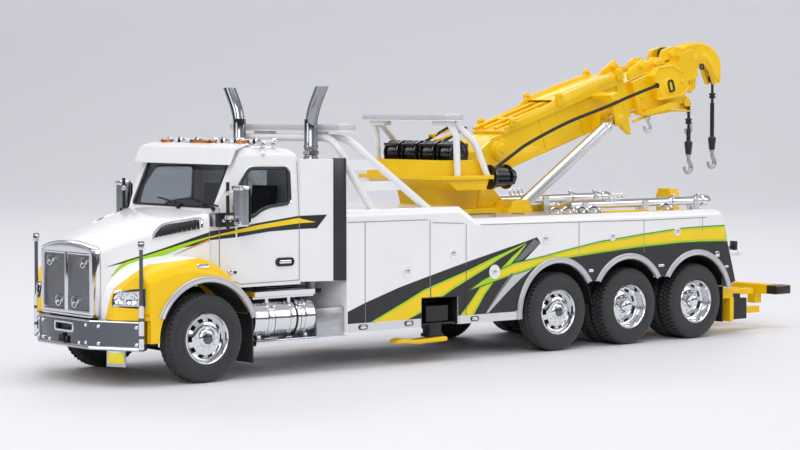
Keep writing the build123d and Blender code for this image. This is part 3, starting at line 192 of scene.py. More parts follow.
def make_finishes(paint):
    """Every finish of the model, by name."""
    gloss = {"roughness": 0.3, "coat_weight": 0.7, "coat_roughness": 0.06}
    deep = {"roughness": 0.38, "ior": 1.4, "coat_weight": 0.16, "coat_roughness": 0.08}
    ink = {"roughness": 0.42, "coat_weight": 0.15, "coat_roughness": 0.12}
    milky = {"transmission_weight": 0.45, "roughness": 0.3, "coat_weight": 0.6, "coat_roughness": 0.05}
    return {
        # white acrylic enamel sprayed on die-cast zinc, clear coated: bright, hard gloss
        "white": sprayed("White gloss enamel", paint.white, grime=0.03, **gloss),
        # chrome-yellow enamel, one thick coat: deep colour that stays glossy in the corners
        "yellow": sprayed("Chrome yellow enamel", paint.yellow, grime=0.1, **deep),
        # the fenders: the same enamel, masked off where the hood's white runs down beside the grille
        "fender": masked(sprayed("Chrome yellow enamel, masked", paint.yellow, grime=0.04, **deep), paint.white),
        # pad-printed inks under clear lacquer: flat even colour, a thin gloss
        "ink_charcoal": sprayed("Charcoal pad print", paint.charcoal, grime=0.12, **ink),
        "ink_black": sprayed("Black pad print", rgb("1E1F22"), grime=0.15, **ink),
        "ink_yellow": sprayed("Yellow pad print", paint.stripe, grime=0.05, **ink),
        "ink_green": sprayed("Lime pad print", paint.lime, grime=0.06, **ink),
        "ink_dark_green": sprayed("Dark green pad print", rgb("4A6A1C"), grime=0.1, **ink),
        "ink_orange": sprayed("Orange pad print", rgb("E08A1E"), grime=0.06, **ink),
        "ink_silver": sprayed("Silver grey pad print", rgb("C4C6C8"), grime=0.06, **ink),
        "ink_grey": sprayed("Mid grey pad print", rgb("6E7173"), grime=0.08, **ink),
        # panel lines: painted shade in place of the grooves between panels, not ink
        "seam_shade": sprayed("Panel line shade", rgb("8E9195"), grime=0.1, **ink),
        "dark_seam_shade": sprayed("Dark panel line shade", rgb("2B2C30"), grime=0.1, **ink),
        # vacuum-plated ABS: a near mirror, slightly warm smudges
        "chrome": plated("Vacuum plated ABS", rgb("E4E5E8"), roughness=0.09),
        # plating with its colour darkened as painted shade and painted dim reflection: the bumper mirrors its
        # surroundings dimly, and the front hub caps look shadowed
        "shade_dimmed_chrome": plated("Plated ABS dimmed as painted shade", rgb("6A6C72"), roughness=0.14, smudge=0.12),
        # the stacks: the same plating, its colour darkened as a painted dim reflection, a darker mirror; the mirrors
        # take it too
        "reflection_dimmed_chrome": plated("Plated ABS tube dimmed as painted reflection", rgb("9FA1A6"), roughness=0.07, smudge=0.06),
        # cast zinc under thin silver paint: dull metallic greys, pale on the trims
        "silver_pale": sprayed("Pale silver enamel", rgb("E1E2E5"), grime=0.05, metallic=0.35, roughness=0.3),
        "silver_paint": sprayed("Silver enamel", rgb("C9CACC"), grime=0.08, metallic=0.75, roughness=0.34),
        # turned and polished steel tube: a long bright streak with dark flanks
        "cylinder_steel": plated("Polished steel tube", rgb("DCDDDF"), roughness=0.27, smudge=0.06),
        # matt grey with a coarse skin: painted shade on the barrels, rim backs, inner wheels and shafts deep in the
        # wheels
        "cast": moulded("Dark grey for painted shade in the wheels", rgb("5B5D60"), 0.3, 0.25, metallic=0.6, roughness=0.5),
        # rolled aluminium sheet: fine lines along the truck
        "aluminium": brushed("Brushed aluminium", rgb("C6C8CB"), (0.06, 1.0, 1.0), roughness=0.3),
        "aluminium_dull": brushed("Dull aluminium sheet", rgb("A9ABAF"), (1.0, 1.0, 0.08), roughness=0.42),
        # carbon-black rubber: near black, soft light at grazing angles
        "tyre": moulded("Tyre rubber", paint.tyre, 0.25, 0.2, roughness=0.62, ior=1.52, sheen_weight=0.15,
                        sheen_roughness=0.5),
        # calendered sheet rubber: as dark, a little smoother
        "flap": moulded("Sheet rubber", rgb("202124"), 0.3, 0.2, roughness=0.55, ior=1.52),
        # chassis enamel, thinly sprayed: black with a dull sheen
        "frame_black": sprayed("Black chassis enamel", rgb("1B1C1E"), grime=0.2, roughness=0.42),
        # moulded ABS: black with soft edges of light
        "black": moulded("Black moulded ABS", rgb("17181A"), 0.3, 0.15, roughness=0.38, ior=1.53),
        # black enamel over the cast winches: wet-looking, with bright rims of light
        "black_gloss": sprayed("Black gloss enamel", rgb("101113"), grime=0.2, roughness=0.22, coat_weight=0.6,
                               coat_roughness=0.05),
        # forged hook, tumbled and nickel dipped: bright but not a mirror
        "hook_silver": plated("Nickel dipped zinc", rgb("B4B6BA"), roughness=0.24, smudge=0.14),
        # waxed braided line: matt black, its braid drawn as coarse as it needs to show
        "black_line": moulded("Waxed black line", rgb("141415"), 0.2, 0.4, roughness=0.6),
        # moulded ABS of the seats: dark grey, nearly matt
        "interior": moulded("Dark grey seat moulding", rgb("3A3B3F"), 0.4, 0.3, roughness=0.6, ior=1.53),
        # clear and tinted polystyrene: hard gloss over what lies behind
        "glass": clear("Tinted window styrene", rgb("C9CED2"), roughness=0.02, transmission_weight=1.0),
        "lens": clear("Clear lens styrene", rgb("F4F6F8"), roughness=0.03, transmission_weight=1.0),
        # milky polystyrene: half lets light through, half scatters it
        "lamp_frost": clear("Frosted light bar styrene", rgb("F3F4F7"), 2, 0.1, **milky),
        "amber": clear("Amber lens styrene", rgb("F58A1E"), roughness=0.08, transmission_weight=1.0),
        "red": clear("Red lens styrene", rgb("C4231B"), roughness=0.08, transmission_weight=1.0),
        # the number plate's print: flat yellow
        "plate": sprayed("Yellow plate print", rgb("E6D51F"), grime=0.05, **ink),
    }


FINISH = {}


# ---------------- shapes, in millimetres
def at(x, y, z):
    """A place counted from the steered axle, as metres in the frame."""
    return Vector(((x + AXLE_X) * MM, y * MM, z * MM))


FROM_AXLE = Matrix.Diagonal((MM, MM, MM, 1.0)) @ Matrix.Translation((AXLE_X, 0.0, 0.0))
ALONG_BOOM = FROM_AXLE @ Matrix.Translation((HINGE_X, 0, HINGE_Z)) @ Matrix.Rotation(-radians(BOOM_ANGLE), 4, "Y")


def turned_at(place, angle, axis):
    """A turn of so many degrees about a line through a place."""
    x, y, z = place
    return Matrix.Translation(place) @ Matrix.Rotation(radians(angle), 4, axis) @ Matrix.Translation((-x, -y, -z))


def smooth_path(points, steps=6):
    """More points on a flowing curve through the given ones."""
    rows = [Vector(p) for p in points]
    ends = [rows[0] * 2 - rows[1], *rows, rows[-1] * 2 - rows[-2]]
    path = []
    for i in range(1, len(ends) - 2):
        a, b, c, d = ends[i - 1:i + 3]
        for k in range(steps):
            t = k / steps
            path.append(0.5 * ((2 * b) + (c - a) * t + (2 * a - 5 * b + 4 * c - d) * t * t
                               + (3 * b - a - 3 * c + d) * t ** 3))
    return path + [rows[-1]]


def bent_path(points, bend, steps=6):
    """The corners of a tube's route rounded by a bend of one radius."""
    rows = [Vector(p) for p in points]
    path = [rows[0]]
    for before, corner, after in zip(rows, rows[1:], rows[2:]):
        back, on = (before - corner), (after - corner)
        cut = min(bend, back.length * 0.45, on.length * 0.45)
        start, end = corner + back.normalized() * cut, corner + on.normalized() * cut
        for k in range(steps + 1):
            t = k / steps
            path.append(start * (1 - t) ** 2 + corner * 2 * t * (1 - t) + end * t * t)
    return path + [rows[-1]]


def web(part, rows, closed=True):
    """Faces between rows of corners; closed joins each row's end to its start."""
    for low, high in zip(rows, rows[1:]):
        for k in range(len(low) if closed else len(low) - 1):
            n = (k + 1) % len(low)
            part.faces.new((low[k], low[n], high[n], high[k]))


# which of an outline's two ways and its thickness d go to x, y and z, for each axis across it
ORDER = {"y": lambda a, b, d: (a, d, b), "x": lambda a, b, d: (d, a, b), "z": lambda a, b, d: (a, b, d)}


class Form:
    """The mesh of one piece, built shape by shape."""

    def __init__(self, place=FROM_AXLE):
        self.mesh = bmesh.new()
        self.place = place

    def gather(self, source, turned=None):
        """Adds a mesh, or its mirror image, to the piece."""
        spare = bpy.data.meshes.new("spare")
        source.to_mesh(spare)
        if turned:
            spare.transform(turned)
            spare.flip_normals()
        self.mesh.from_mesh(spare)
        bpy.data.meshes.remove(spare)

    def take(self, part, rounding=0.0, steps=2, slot=0):
        """Adds one shape to the piece, its hard edges rounded, with one finish."""
        bmesh.ops.recalc_face_normals(part, faces=part.faces)
        if rounding:
            edges = [e for e in part.edges if len(e.link_faces) == 2 and e.calc_face_angle(0) > radians(28)]
            bmesh.ops.bevel(part, geom=edges, offset=rounding, segments=steps, profile=0.5, affect="EDGES",
                clamp_overlap=True)
        for face in part.faces:
            face.material_index = slot
        part.transform(self.place)
        self.gather(part)
        part.free()

    def prism(self, outline, near, far, rounding=0.0, slot=0, axis="y", steps=2, turn=None):
        """An outline drawn across an axis, thick from near to far along it."""
        part = bmesh.new()
        ends = [[part.verts.new(ORDER[axis](a, b, d)) for a, b in outline] for d in (near, far)]
        for row in ends:
            part.faces.new(row)
        web(part, ends)
        if turn is not None:
            part.transform(turn)
        self.take(part, rounding, steps, slot)

    def block(self, low, high, rounding=0.0, slot=0, turn=None):
        """A box between two corners."""
        outline = [(low[0], low[2]), (high[0], low[2]), (high[0], high[2]), (low[0], high[2])]
        self.prism(outline, low[1], high[1], rounding, slot, turn=turn)

    def blocks(self, *rows):
        """Several blocks; columns: low x, y, z, high x, y, z, rounding, slot."""
        for row in rows:
            self.block(row[:3], row[3:6], *row[6:])

    def lathe(self, profile, centre, axis, around, slot, arc=(0, 360), drop=None, closed=False, first=(0, 0, 1)):
        """A profile of (radius, way along the axis) turned round it; drop(ring, step) leaves faces out."""
        part = bmesh.new()
        axis, centre = Vector(axis).normalized(), Vector(centre)
        first = Vector(first) if abs(axis.dot(Vector(first))) < 0.95 else Vector((1, 0, 0))
        side = (first - axis * first.dot(axis)).normalized()
        other = axis.cross(side)
        full = abs(arc[1] - arc[0]) >= 360
        columns = around if full else around + 1
        rings = []
        for radius, along in profile:
            if radius < 1e-6:
                rings.append([part.verts.new(centre + axis * along)])
                continue
            ring = []
            for k in range(columns):
                angle = radians(arc[0] + (arc[1] - arc[0]) * k / around)
                ring.append(part.verts.new(centre + axis * along + (side * cos(angle) + other * sin(angle)) * radius))
            rings.append(ring)
        pairs = list(zip(rings, rings[1:])) + ([(rings[-1], rings[0])] if closed else [])
        for i, (low, high) in enumerate(pairs):
            for k in range(around):
                n = (k + 1) % columns
                if drop and drop(i, k):
                    continue
                if len(low) == 1 and len(high) == 1:
                    continue
                if len(low) == 1:
                    part.faces.new((low[0], high[n], high[k]))
                elif len(high) == 1:
                    part.faces.new((low[k], low[n], high[0]))
                else:
                    part.faces.new((low[k], low[n], high[n], high[k]))
        self.take(part, slot=slot)

    def rod(self, start, end, radius, around, rounding=0.0, slot=0):
        """A round bar between two places, its ends a little rounded."""
        start, end = Vector(start), Vector(end)
        run = (end - start).length
        edge = min(rounding, radius * 0.6, run * 0.4)
        profile = [(0, 0), (radius - edge, 0), (radius, edge), (radius, run - edge), (radius - edge, run), (0, run)]
        if not edge:
            profile = [(0, 0), (radius, 0), (radius, run), (0, run)]
        across = (0, 0, 1) if abs((end - start).normalized().z) < 0.9 else (1, 0, 0)
        self.lathe(profile, start, end - start, around, slot, first=across)

    def pipe(self, path, radius, around=12, slot=0, closed=False):
        """A round section carried along a path; radius may be a list, one for each point."""
        part = bmesh.new()
        path = [Vector(p) for p in path]
        count = len(path)
        radii = radius if isinstance(radius, (list, tuple)) else [radius] * count
        ahead = []
        for i in range(count):
            before = path[i - 1] if i or closed else path[0]
            after = path[(i + 1) % count] if i < count - 1 or closed else path[-1]
            ahead.append((after - before).normalized())
        side = ahead[0].orthogonal().normalized()
        rings = []
        for point, way, thick in zip(path, ahead, radii):
            side = (side - way * side.dot(way)).normalized()
            other = way.cross(side)
            rings.append([part.verts.new(point + (side * cos(2 * pi * k / around) + other * sin(2 * pi * k / around))
                                         * thick) for k in range(around)])
        web(part, rings)
        if closed:
            # the last ring meets the first where their corners lie nearest
            last, first = rings[-1], rings[0]
            shift = min(range(around), key=lambda s: (first[s].co - last[0].co).length)
            web(part, [last, first[shift:] + first[:shift]])
        else:
            part.faces.new(rings[0])
            part.faces.new(rings[-1])
        self.take(part, slot=slot)

    def skin(self, rows, slot):
        """A surface through rows of points, all rows as long as each other."""
        part = bmesh.new()
        web(part, [[part.verts.new(p) for p in row] for row in rows], False)
        self.take(part, slot=slot)

    def mirrored(self):
        """Adds the mirror image across the truck."""
        self.gather(self.mesh, Matrix.Diagonal((1, -1, 1, 1)))
        return self

    def finish(self, name, body, finishes, slot, stands_for=(), sharp=35):
        """The finished piece: its object, its finishes, its body and the nodes it stands for."""
        data = bpy.data.meshes.new(name)
        self.mesh.to_mesh(data)
        self.mesh.free()
        piece = bpy.data.objects.new(name, data)
        bpy.context.scene.collection.objects.link(piece)
        for one in ([finishes] if isinstance(finishes, str) else finishes):
            data.materials.append(FINISH[one])
        data.polygons.foreach_set("use_smooth", [True] * len(data.polygons))
        data.set_sharp_from_angle(angle=radians(sharp))
        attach(piece, body)
        if stands_for:
            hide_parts(*([stands_for] if isinstance(stands_for, str) else stands_for))


def dress(node, finish, rounding):
    """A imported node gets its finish, with its hard edges a little rounded."""
    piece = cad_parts[node]
    for holder in piece.material_slots:
        holder.material = FINISH[finish]
    weld = piece.modifiers.new("Weld", "WELD")
    weld.merge_threshold = 0.002 * MM
    if rounding:
        edge = piece.modifiers.new("Edge", "BEVEL")
        edge.width, edge.segments = rounding * MM, 2
        edge.limit_method, edge.angle_limit = "ANGLE", radians(38)
        edge.use_clamp_overlap = True
        piece.modifiers.new("Even", "WEIGHTED_NORMAL").keep_sharp = False


def surface_of(*nodes):
    """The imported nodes' faces, for laying prints on them."""
    points, faces = [], []
    for node in nodes:
        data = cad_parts[node].data
        start = len(points)
        points += [v.co.copy() for v in data.vertices]
        faces += [[start + i for i in p.vertices] for p in data.polygons]
    return BVHTree.FromPolygons(points, faces)


# ---------------- what a user may change
class TowTruckPaint(bpy.types.PropertyGroup):
    """Colours of the model."""
    white: bpy.props.FloatVectorProperty(name="Cab and body", description="Enamel of cab, hood and tow body",
        subtype="COLOR", size=3, min=0, max=1, default=rgb("F0F0F1"))
    yellow: bpy.props.FloatVectorProperty(name="Boom and fenders", description="Enamel of boom, turret and fenders",
        subtype="COLOR", size=3, min=0, max=1, default=rgb("FACB00"))
    stripe: bpy.props.FloatVectorProperty(name="Stripe", description="Wide stripe printed along the sides",
        subtype="COLOR", size=3, min=0, max=1, default=rgb("F7D200"))
    lime: bpy.props.FloatVectorProperty(name="Stripe edge", description="Lime edge of the stripes", subtype="COLOR",
        size=3, min=0, max=1, default=rgb("A9D614"))
    charcoal: bpy.props.FloatVectorProperty(name="Wedge", description="Dark wedge printed on the tow body",
        subtype="COLOR", size=3, min=0, max=1, default=rgb("202024"))
    tyre: bpy.props.FloatVectorProperty(name="Tyres", description="Rubber of the tyres", subtype="COLOR", size=3, min=0,
        max=1, default=rgb("2A2B2E"))


class TowTruckSizes(bpy.types.PropertyGroup):
    """Sizes of the fine pieces."""
    tread_depth: bpy.props.FloatProperty(name="Tread depth", description="Depth of the grooves in the tyres",
        unit="LENGTH", min=0.0001, max=0.001, default=0.00035)
    tread_blocks: bpy.props.IntProperty(name="Tread blocks", description="Blocks round each tyre", min=20, max=90,
        default=54)
    seam: bpy.props.FloatProperty(name="Panel line", description="Width of the lines between panels", unit="LENGTH",
        min=0.00005, max=0.0005, default=0.00018)
    latch: bpy.props.FloatProperty(name="Latch", description="Radius of the compartment latches", unit="LENGTH",
        min=0.0005, max=0.002, default=0.00115)


class BuildStep(bpy.types.Operator):
    """One group of pieces"""
    bl_idname = "tow_truck.step"
    bl_label = "Tow truck step"
    bl_options = {"REGISTER"}

    def execute(self, context):
        self.make(context.scene.tow_truck_paint, context.scene.tow_truck_sizes)
        return {"FINISHED"}


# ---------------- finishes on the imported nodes
# columns: node, finish, rounding in mm
NODE_FINISHES = [
    ("chassis_frame", "frame_black", 0.1), ("axle_housings", "frame_black", 0.2), ("engine_block", "frame_black", 0.4),
    ("front_bumper", "shade_dimmed_chrome", 0.15), ("hood_shell", "white", 0.5), ("front_fenders", "fender", 0.5),
    ("cab_shell", "white", 0.3), ("cab_glass", "glass", 0), ("cab_interior", "interior", 0.3),
    ("sun_visor", "white", 0.15), ("roof_fittings", "chrome", 0.1), ("mirrors", "reflection_dimmed_chrome", 0.15),
    ("side_panels", "white", 0.1), ("exhaust_stacks", "chrome", 0.1), ("fuel_tanks", "chrome", 0.15),
    ("mud_flaps", "flap", 0.1), ("tow_body", "white", 0.35), ("body_trims", "silver_pale", 0.08),
    ("light_pylon", "white", 0.1), ("pylon_light_bar", "lamp_frost", 0.2), ("deck_tubes", "chrome", 0.15),
    ("rear_frame", "yellow", 0.2), ("tie_rod", "frame_black", 0.05), ("turret_base", "yellow", 0.25),
    ("winches", "black", 0.1), ("winch_arch", "white", 0.1), ("arch_light_bar", "lamp_frost", 0.2),
    ("side_winches", "black", 0.1), ("boom_main", "yellow", 0.15), ("side_line", "black_line", 0),
    ("boom_mid", "yellow", 0.2), ("boom_tip", "yellow", 0.25), ("lift_barrels", "silver_paint", 0.1),
    ("lift_rods", "chrome", 0.1), ("underlift_arm", "yellow", 0.15), ("underlift_slide", "yellow", 0.15),
    ("cross_bar", "yellow", 0.2), ("headlamps", "chrome", 0.15), ("grille", "chrome", 0.15),
    ("knuckle_right", "frame_black", 0.1), ("knuckle_left", "frame_black", 0.1),
    ("outrigger_beam_right", "black", 0.15), ("outrigger_beam_left", "black", 0.15),
    ("outrigger_leg_right", "yellow", 0.15), ("outrigger_leg_left", "yellow", 0.15),
    ("rear_leg_right", "black", 0.15), ("rear_leg_left", "black", 0.15),
    ("hook_near", "chrome", 0), ("hook_far", "chrome", 0),
]


class TOWTRUCK_OT_finishes(BuildStep):
    """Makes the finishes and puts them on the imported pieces"""
    bl_idname = "tow_truck.finishes"
    bl_label = "Paint and plating"

    def make(self, paint, sizes):
        FINISH.update(make_finishes(paint))
        for node, finish, rounding in NODE_FINISHES:
            dress(node, finish, rounding)


# ---------------- wheels
def tread_radius(across, k, depth, lugs):
    """How far the tread is cut back at one place across the tyre and one step round it."""
    in_groove = any(abs(across - g) < 0.24 for g in (1.45, 2.45, 3.25, 4.25))
    if in_groove and not lugs:
        return depth
    if lugs:
        edge = across < 1.9 or across > TYRE_W - 1.9
        gap = k % 4 >= 2 if edge else (k + 2) % 4 >= 2
        if abs(across - 2.3) < 0.22 or abs(across - 3.4) < 0.22:
            return depth
        return depth if gap else 0
    shoulder = across < 1.3 or across > TYRE_W - 1.3
    return depth * 0.8 if shoulder and k % 4 >= 2 else 0


def tyre_form(form, x, outer_y, sizes, lugs):
    """One tyre: soft shoulders, raised sidewall rings and a tread cut block by block."""
    sign = 1 if outer_y > 0 else -1
    depth = sizes.tread_depth / MM
    top = TYRE_R
    # columns: radius, depth behind the outer face
    wall = [(RIM_R + 0.02, 0.75), (RIM_R + 0.05, 0.35), (RIM_R + 0.35, 0.1), (RIM_R + 0.75, 0.02), (RIM_R + 0.85, 0.14),
        (RIM_R + 1.6, 0.02), (RIM_R + 2.5, 0.05), (top - 1.25, 0.22), (top - 1.15, 0.14), (top - 0.75, 0.34),
        (top - 0.4, 0.6), (top - 0.14, 0.85)]
    tread = [1.1, 1.24, 1.28, 1.64, 1.68, 2.1, 2.24, 2.28, 2.56, 2.62, 3.08, 3.14, 3.42, 3.46, 3.6, 4.02, 4.06, 4.42,
        4.46, 4.6]
    part = bmesh.new()
    blocks = sizes.tread_blocks
    # four steps to each block: its start, its end and the two walls of the gap
    steps = [2 * pi * (pitch + share) / blocks for pitch in range(blocks) for share in (0, 0.52, 0.6, 0.92)]
    rings = [[(radius, deep)] * len(steps) for radius, deep in wall]
    rings += [[(top - tread_radius(deep, k, depth, lugs), deep) for k in range(len(steps))] for deep in tread]
    rings += [[(radius, TYRE_W - deep)] * len(steps) for radius, deep in reversed(wall)]
    shoulder = len(wall) - 1
    grid = []
    for i, ring in enumerate(rings):
        row = []
        for k, (radius, deep) in enumerate(ring):
            if i in (shoulder, len(rings) - 1 - shoulder) and k % 4 >= 2:
                radius -= depth * 0.7
            row.append(part.verts.new((x + radius * sin(steps[k]), outer_y - sign * deep,
                TYRE_R + radius * cos(steps[k]))))
        grid.append(row)
    web(part, grid + grid[:1])
    form.take(part)


def stud_ring(form, x, y, sign, radius, count, size, tall, turn=0):
    """Wheel nuts, each a six-sided nut with a domed end."""
    nut = [(0, 0), (size, 0), (size, tall * 0.55), (size * 0.62, tall * 0.7), (size * 0.5, tall), (0, tall * 1.1)]
    for k in range(count):
        angle = 2 * pi * (k + turn) / count
        form.lathe(nut, (x + radius * sin(angle), y, TYRE_R + radius * cos(angle)), (0, sign, 0), 6, 0)


def wheel_disc(form, x, outer_y, deep):
    """One plated wheel: lip, barrel, a disc with hand holes, nuts and hub. Slots: plating, barrel in dark grey as
    painted shade behind the hand holes, hub cap in chrome darkened as painted shade.
    """
    sign = 1 if outer_y > 0 else -1
    around = 64 if deep else 80

    def turned(profile, slot, drop=None):
        form.lathe([(r, -d) for r, d in profile], (x, outer_y, TYRE_R), (0, sign, 0), around, slot, drop=drop)

    lip = [(RIM_R + 0.02, 0.7), (RIM_R + 0.05, 0.3), (RIM_R - 0.05, 0.16), (RIM_R - 0.25, 0.14), (RIM_R - 0.4, 0.28),
        (RIM_R - 0.5, 0.6), (RIM_R - 0.56, 1.4)]
    if not deep:
        turned(lip + [(5.3, 1.75), (5.05, 1.62), (4.95, 1.5), (4.75, 1.3), (4.55, 1.15), (4.2, 0.85), (3.95, 0.7),
            (3.8, 0.62), (3.4, 0.5), (3, 0.46), (2.5, 0.45)], 0, drop=lambda i, k: i in (10, 11, 12) and k % 8 in (2, 3,
            4, 5))
        # the barrel behind the hand holes, dark grey as painted shade
        turned([(5.2, 2), (4.9, 3), (3, 3.2), (0, 3.2)], 1)
        turned([(2.5, 0.46), (2.25, 0.42), (2.05, 0.1), (1.75, -0.12), (1.45, -0.2), (1.3, -0.12)], 0)
        # the hub cap, in chrome darkened as painted shade at the wheel's centre
        turned([(1.3, -0.12), (1.2, -0.16), (1, -0.22), (0.4, -0.28), (0, -0.28)], 2)
        stud_ring(form, x, outer_y - sign * 0.5, sign, 2.95, 10, 0.26, 0.5, 0.5)
        stud_ring(form, x, outer_y - sign * 0.1, sign, 1.72, 8, 0.12, 0.22)
    else:
        turned(lip + [(5.45, 2.4), (5.2, 3), (5, 3.15), (4.8, 3.2), (4.4, 3.24), (4, 3.22), (3.75, 3.15), (3.3, 3),
            (2.8, 2.95), (2.1, 2.9)], 0, drop=lambda i, k: i in (10, 11) and k % 8 in (2, 3, 4, 5))
        # the barrel behind the hand holes, dark grey as painted shade
        turned([(5.2, 3.6), (4, 4.2), (2, 4.4), (0, 4.4)], 1)
        turned([(2.1, 2.92), (1.95, 2.8), (1.85, 2.3), (1.7, 1.2), (1.62, 0.95), (1.35, 0.72), (0.9, 0.6), (0.4, 0.56),
            (0, 0.55)], 0)
        stud_ring(form, x, outer_y - sign * 2.98, sign, 2.7, 10, 0.28, 0.62, 0.5)
        stud_ring(form, x, outer_y - sign * 0.72, sign, 1.12, 8, 0.11, 0.2)


# columns: nodes that are replaced, body, axle place, outer faces, True for a drive axle
WHEELS = [
    (("tyre_front_right",), ("rim_front_right",), "wheel_front_right", 0, (TRACK_Y,), False),
    (("tyre_front_left",), ("rim_front_left",), "wheel_front_left", 0, (-TRACK_Y,), False),
    (("tyres_pusher",), ("rims_pusher",), "axle_pusher", PUSHER_X, (TRACK_Y, -TRACK_Y), False),
    (("tyres_drive_front",), ("rims_drive_front",), "axle_drive_front", DRIVE_1_X, (TRACK_Y, -TRACK_Y), True),
    (("tyres_drive_rear",), ("rims_drive_rear",), "axle_drive_rear", DRIVE_2_X, (TRACK_Y, -TRACK_Y), True),
]


class TOWTRUCK_OT_tyres(BuildStep):
    """Tyres with cut tread, twin on the drive axles"""
    bl_idname = "tow_truck.tyres"
    bl_label = "Tyres"

    def make(self, paint, sizes):
        for tyres, _, body, x, faces, drive in WHEELS:
            form = Form()
            for outer in faces:
                tyre_form(form, x, outer, sizes, drive)
                if drive:
                    sign = 1 if outer > 0 else -1
                    tyre_form(form, x, outer - sign * (TYRE_W + DUAL_GAP), sizes, True)
            form.finish(tyres[0] + "_rubber", body, "tyre", "tyre_rubber", tyres, sharp=30)


class TOWTRUCK_OT_rims(BuildStep):
    """Plated wheels with hand holes, nuts and hubs"""
    bl_idname = "tow_truck.rims"
    bl_label = "Wheel discs"

    def make(self, paint, sizes):
        for _, rims, body, x, faces, drive in WHEELS:
            form = Form()
            for outer in faces:
                sign = 1 if outer > 0 else -1
                wheel_disc(form, x, outer, drive)
                back = [(5.2, -4.7), (1.2, -4.8)] if drive else [(5.2, -3.4), (1.2, -3.6)]
                # the rim's back, and the shaft and inner wheel behind it, in dark grey as painted shade
                edge = [(RIM_R, -TYRE_W + 0.5), (5.4, -TYRE_W + 0.5)]
                form.lathe(edge + back, (x, outer, TYRE_R), (0, sign, 0), 48, 1)
                if drive:
                    inner = outer - sign * (TYRE_W + DUAL_GAP)
                    for profile in ([(RIM_R, -0.5), (5.6, -0.6), (5.5, -3.6), (1.4, -3.8), (1.4, 1.2)], edge
                            + [(5.2, -4.2), (1.2, -4.3)]):
                        form.lathe(profile, (x, inner, TYRE_R), (0, sign, 0), 40, 1)
            if len(faces) == 2:
                form.rod((x, -TRACK_Y + 4.6, TYRE_R), (x, TRACK_Y - 4.6, TYRE_R), 0.8, 20, slot=1)
            form.finish(rims[0] + "_plated", body, ["chrome", "cast", "shade_dimmed_chrome"], "chrome_plate", rims, sharp=32)


# ---------------- printed stripes and panel lines
def height_on(curve, x):
    """Height of a line of (x, z) points at one place along the truck."""
    for (x0, z0), (x1, z1) in zip(curve, curve[1:]):
        if x0 <= x <= x1:
            return z0 + (z1 - z0) * (x - x0) / max(x1 - x0, 1e-9)
    return curve[0][1] if x < curve[0][0] else curve[-1][1]


def eased(curve):
    """The line with its corners eased."""
    return [(p.x, p.z) for p in smooth_path([(x, 0, z) for x, z in curve], 5)]


def laid_on(surface, x, z, fallback, lift):
    """The place on the truck's right side at x and z, lifted off the surface by a little."""
    if surface is None:
        return Vector((x, fallback + lift, z))
    start = at(x, 40, z)
    spot, normal, _, _ = surface.ray_cast(start, Vector((0, -1, 0)), 0.04)
    if spot is None:
        return Vector((x, fallback + lift, z))
    if normal.y < 0:
        normal = -normal
    spot = spot + normal * (lift * MM)
    return Vector((spot.x / MM - AXLE_X, spot.y / MM, spot.z / MM))


def band(form, upper, lower, lift, slot, surface=None, y=BODY_Y, rows=1, step=1):
    """A printed band between two lines, on the right side."""
    first, last = max(upper[0][0], lower[0][0]), min(upper[-1][0], lower[-1][0])
    stations = sorted({first, last, *[x for x, _ in upper + lower if first < x < last],
        *[first + (last - first) * k / max(1, int((last - first) / step)) for k in range(int((last - first) / step))]})
    strips = []
    for x in stations:
        high, low = height_on(upper, x), height_on(lower, x)
        strips.append([laid_on(surface, x, low + (high - low) * k / rows, y, lift) for k in range(rows + 1)])
    form.skin(strips, slot)


def shape_print(form, outline, lift, slot):
    """A printed patch with a straight-sided outline, on the flat side."""
    part = bmesh.new()
    corners = [part.verts.new((x, BODY_Y + lift, z)) for x, z in outline]
    face = part.faces.new(corners)
    bmesh.ops.triangulate(part, faces=[face], ngon_method="EAR_CLIP")
    form.take(part, slot=slot)


def line_print(form, points, width, lift, slot, surface=None, y=BODY_Y):
    """A thin printed line along (x, z) points."""
    points = [Vector((x, 0, z)) for x, z in points]
    edges = []
    for i, point in enumerate(points):
        ahead = (points[min(i + 1, len(points) - 1)] - points[max(i - 1, 0)]).normalized()
        across = Vector((-ahead.z, 0, ahead.x)) * (width / 2)
        edges.append([laid_on(surface, (point + across * s).x, (point + across * s).z, y, lift) for s in (-1, 1)])
    form.skin(edges, slot)


WEDGE_TOP = [(41.3, 14.5), (47, 16.5), (58, 19.8), (67.4, 22.1), (80.8, 25.3), (100.7, 29.7), (104.7, 30.7)]
BAND_1_UPPER = [(48.7, 11.6), (54.8, 14.1), (59.9, 16.2), (65.9, 18.8), (73.2, 20.9), (80.8, 23.1), (88.6, 25.7),
    (100.7, 29.3)]
BAND_1_LOWER = [(48.7, 11.55), (60.9, 11.6), (64.5, 12.9), (64.9, 13.1), (64.91, 16.75), (72.1, 16.75), (75.2, 18.3),
    (86.7, 23.2), (91.6, 25.6), (100.7, 29.15)]
BAND_1_FILL = ([(50, 11.65), (54.8, 13.55), (59.9, 15.65), (65.9, 18.25), (73.2, 20.35), (80.8, 22.5), (88.6, 25.1),
    (95.5, 27.4)], [(50, 11.5), (60.3, 11.5), (64, 13.2), (64.9, 13.6), (64.91, 16.78), (70.9, 16.8), (75, 18.85),
    (86.5, 23.75), (91.4, 26.1), (95.5, 27.35)])
REAR_UPPER = [(81.3, 17.9), (85.4, 20), (88.8, 21.3), (91.6, 22.6), (96.2, 24), (102.2, 24.8), (107.6, 25.5),
    (113, 26.4), (120.4, 27.5), (127.9, 28.6), (135.5, 29.2), (143.2, 29.9), (151, 30.5), (158.9, 31.1), (167, 31.3),
    (177.2, 31.4)]
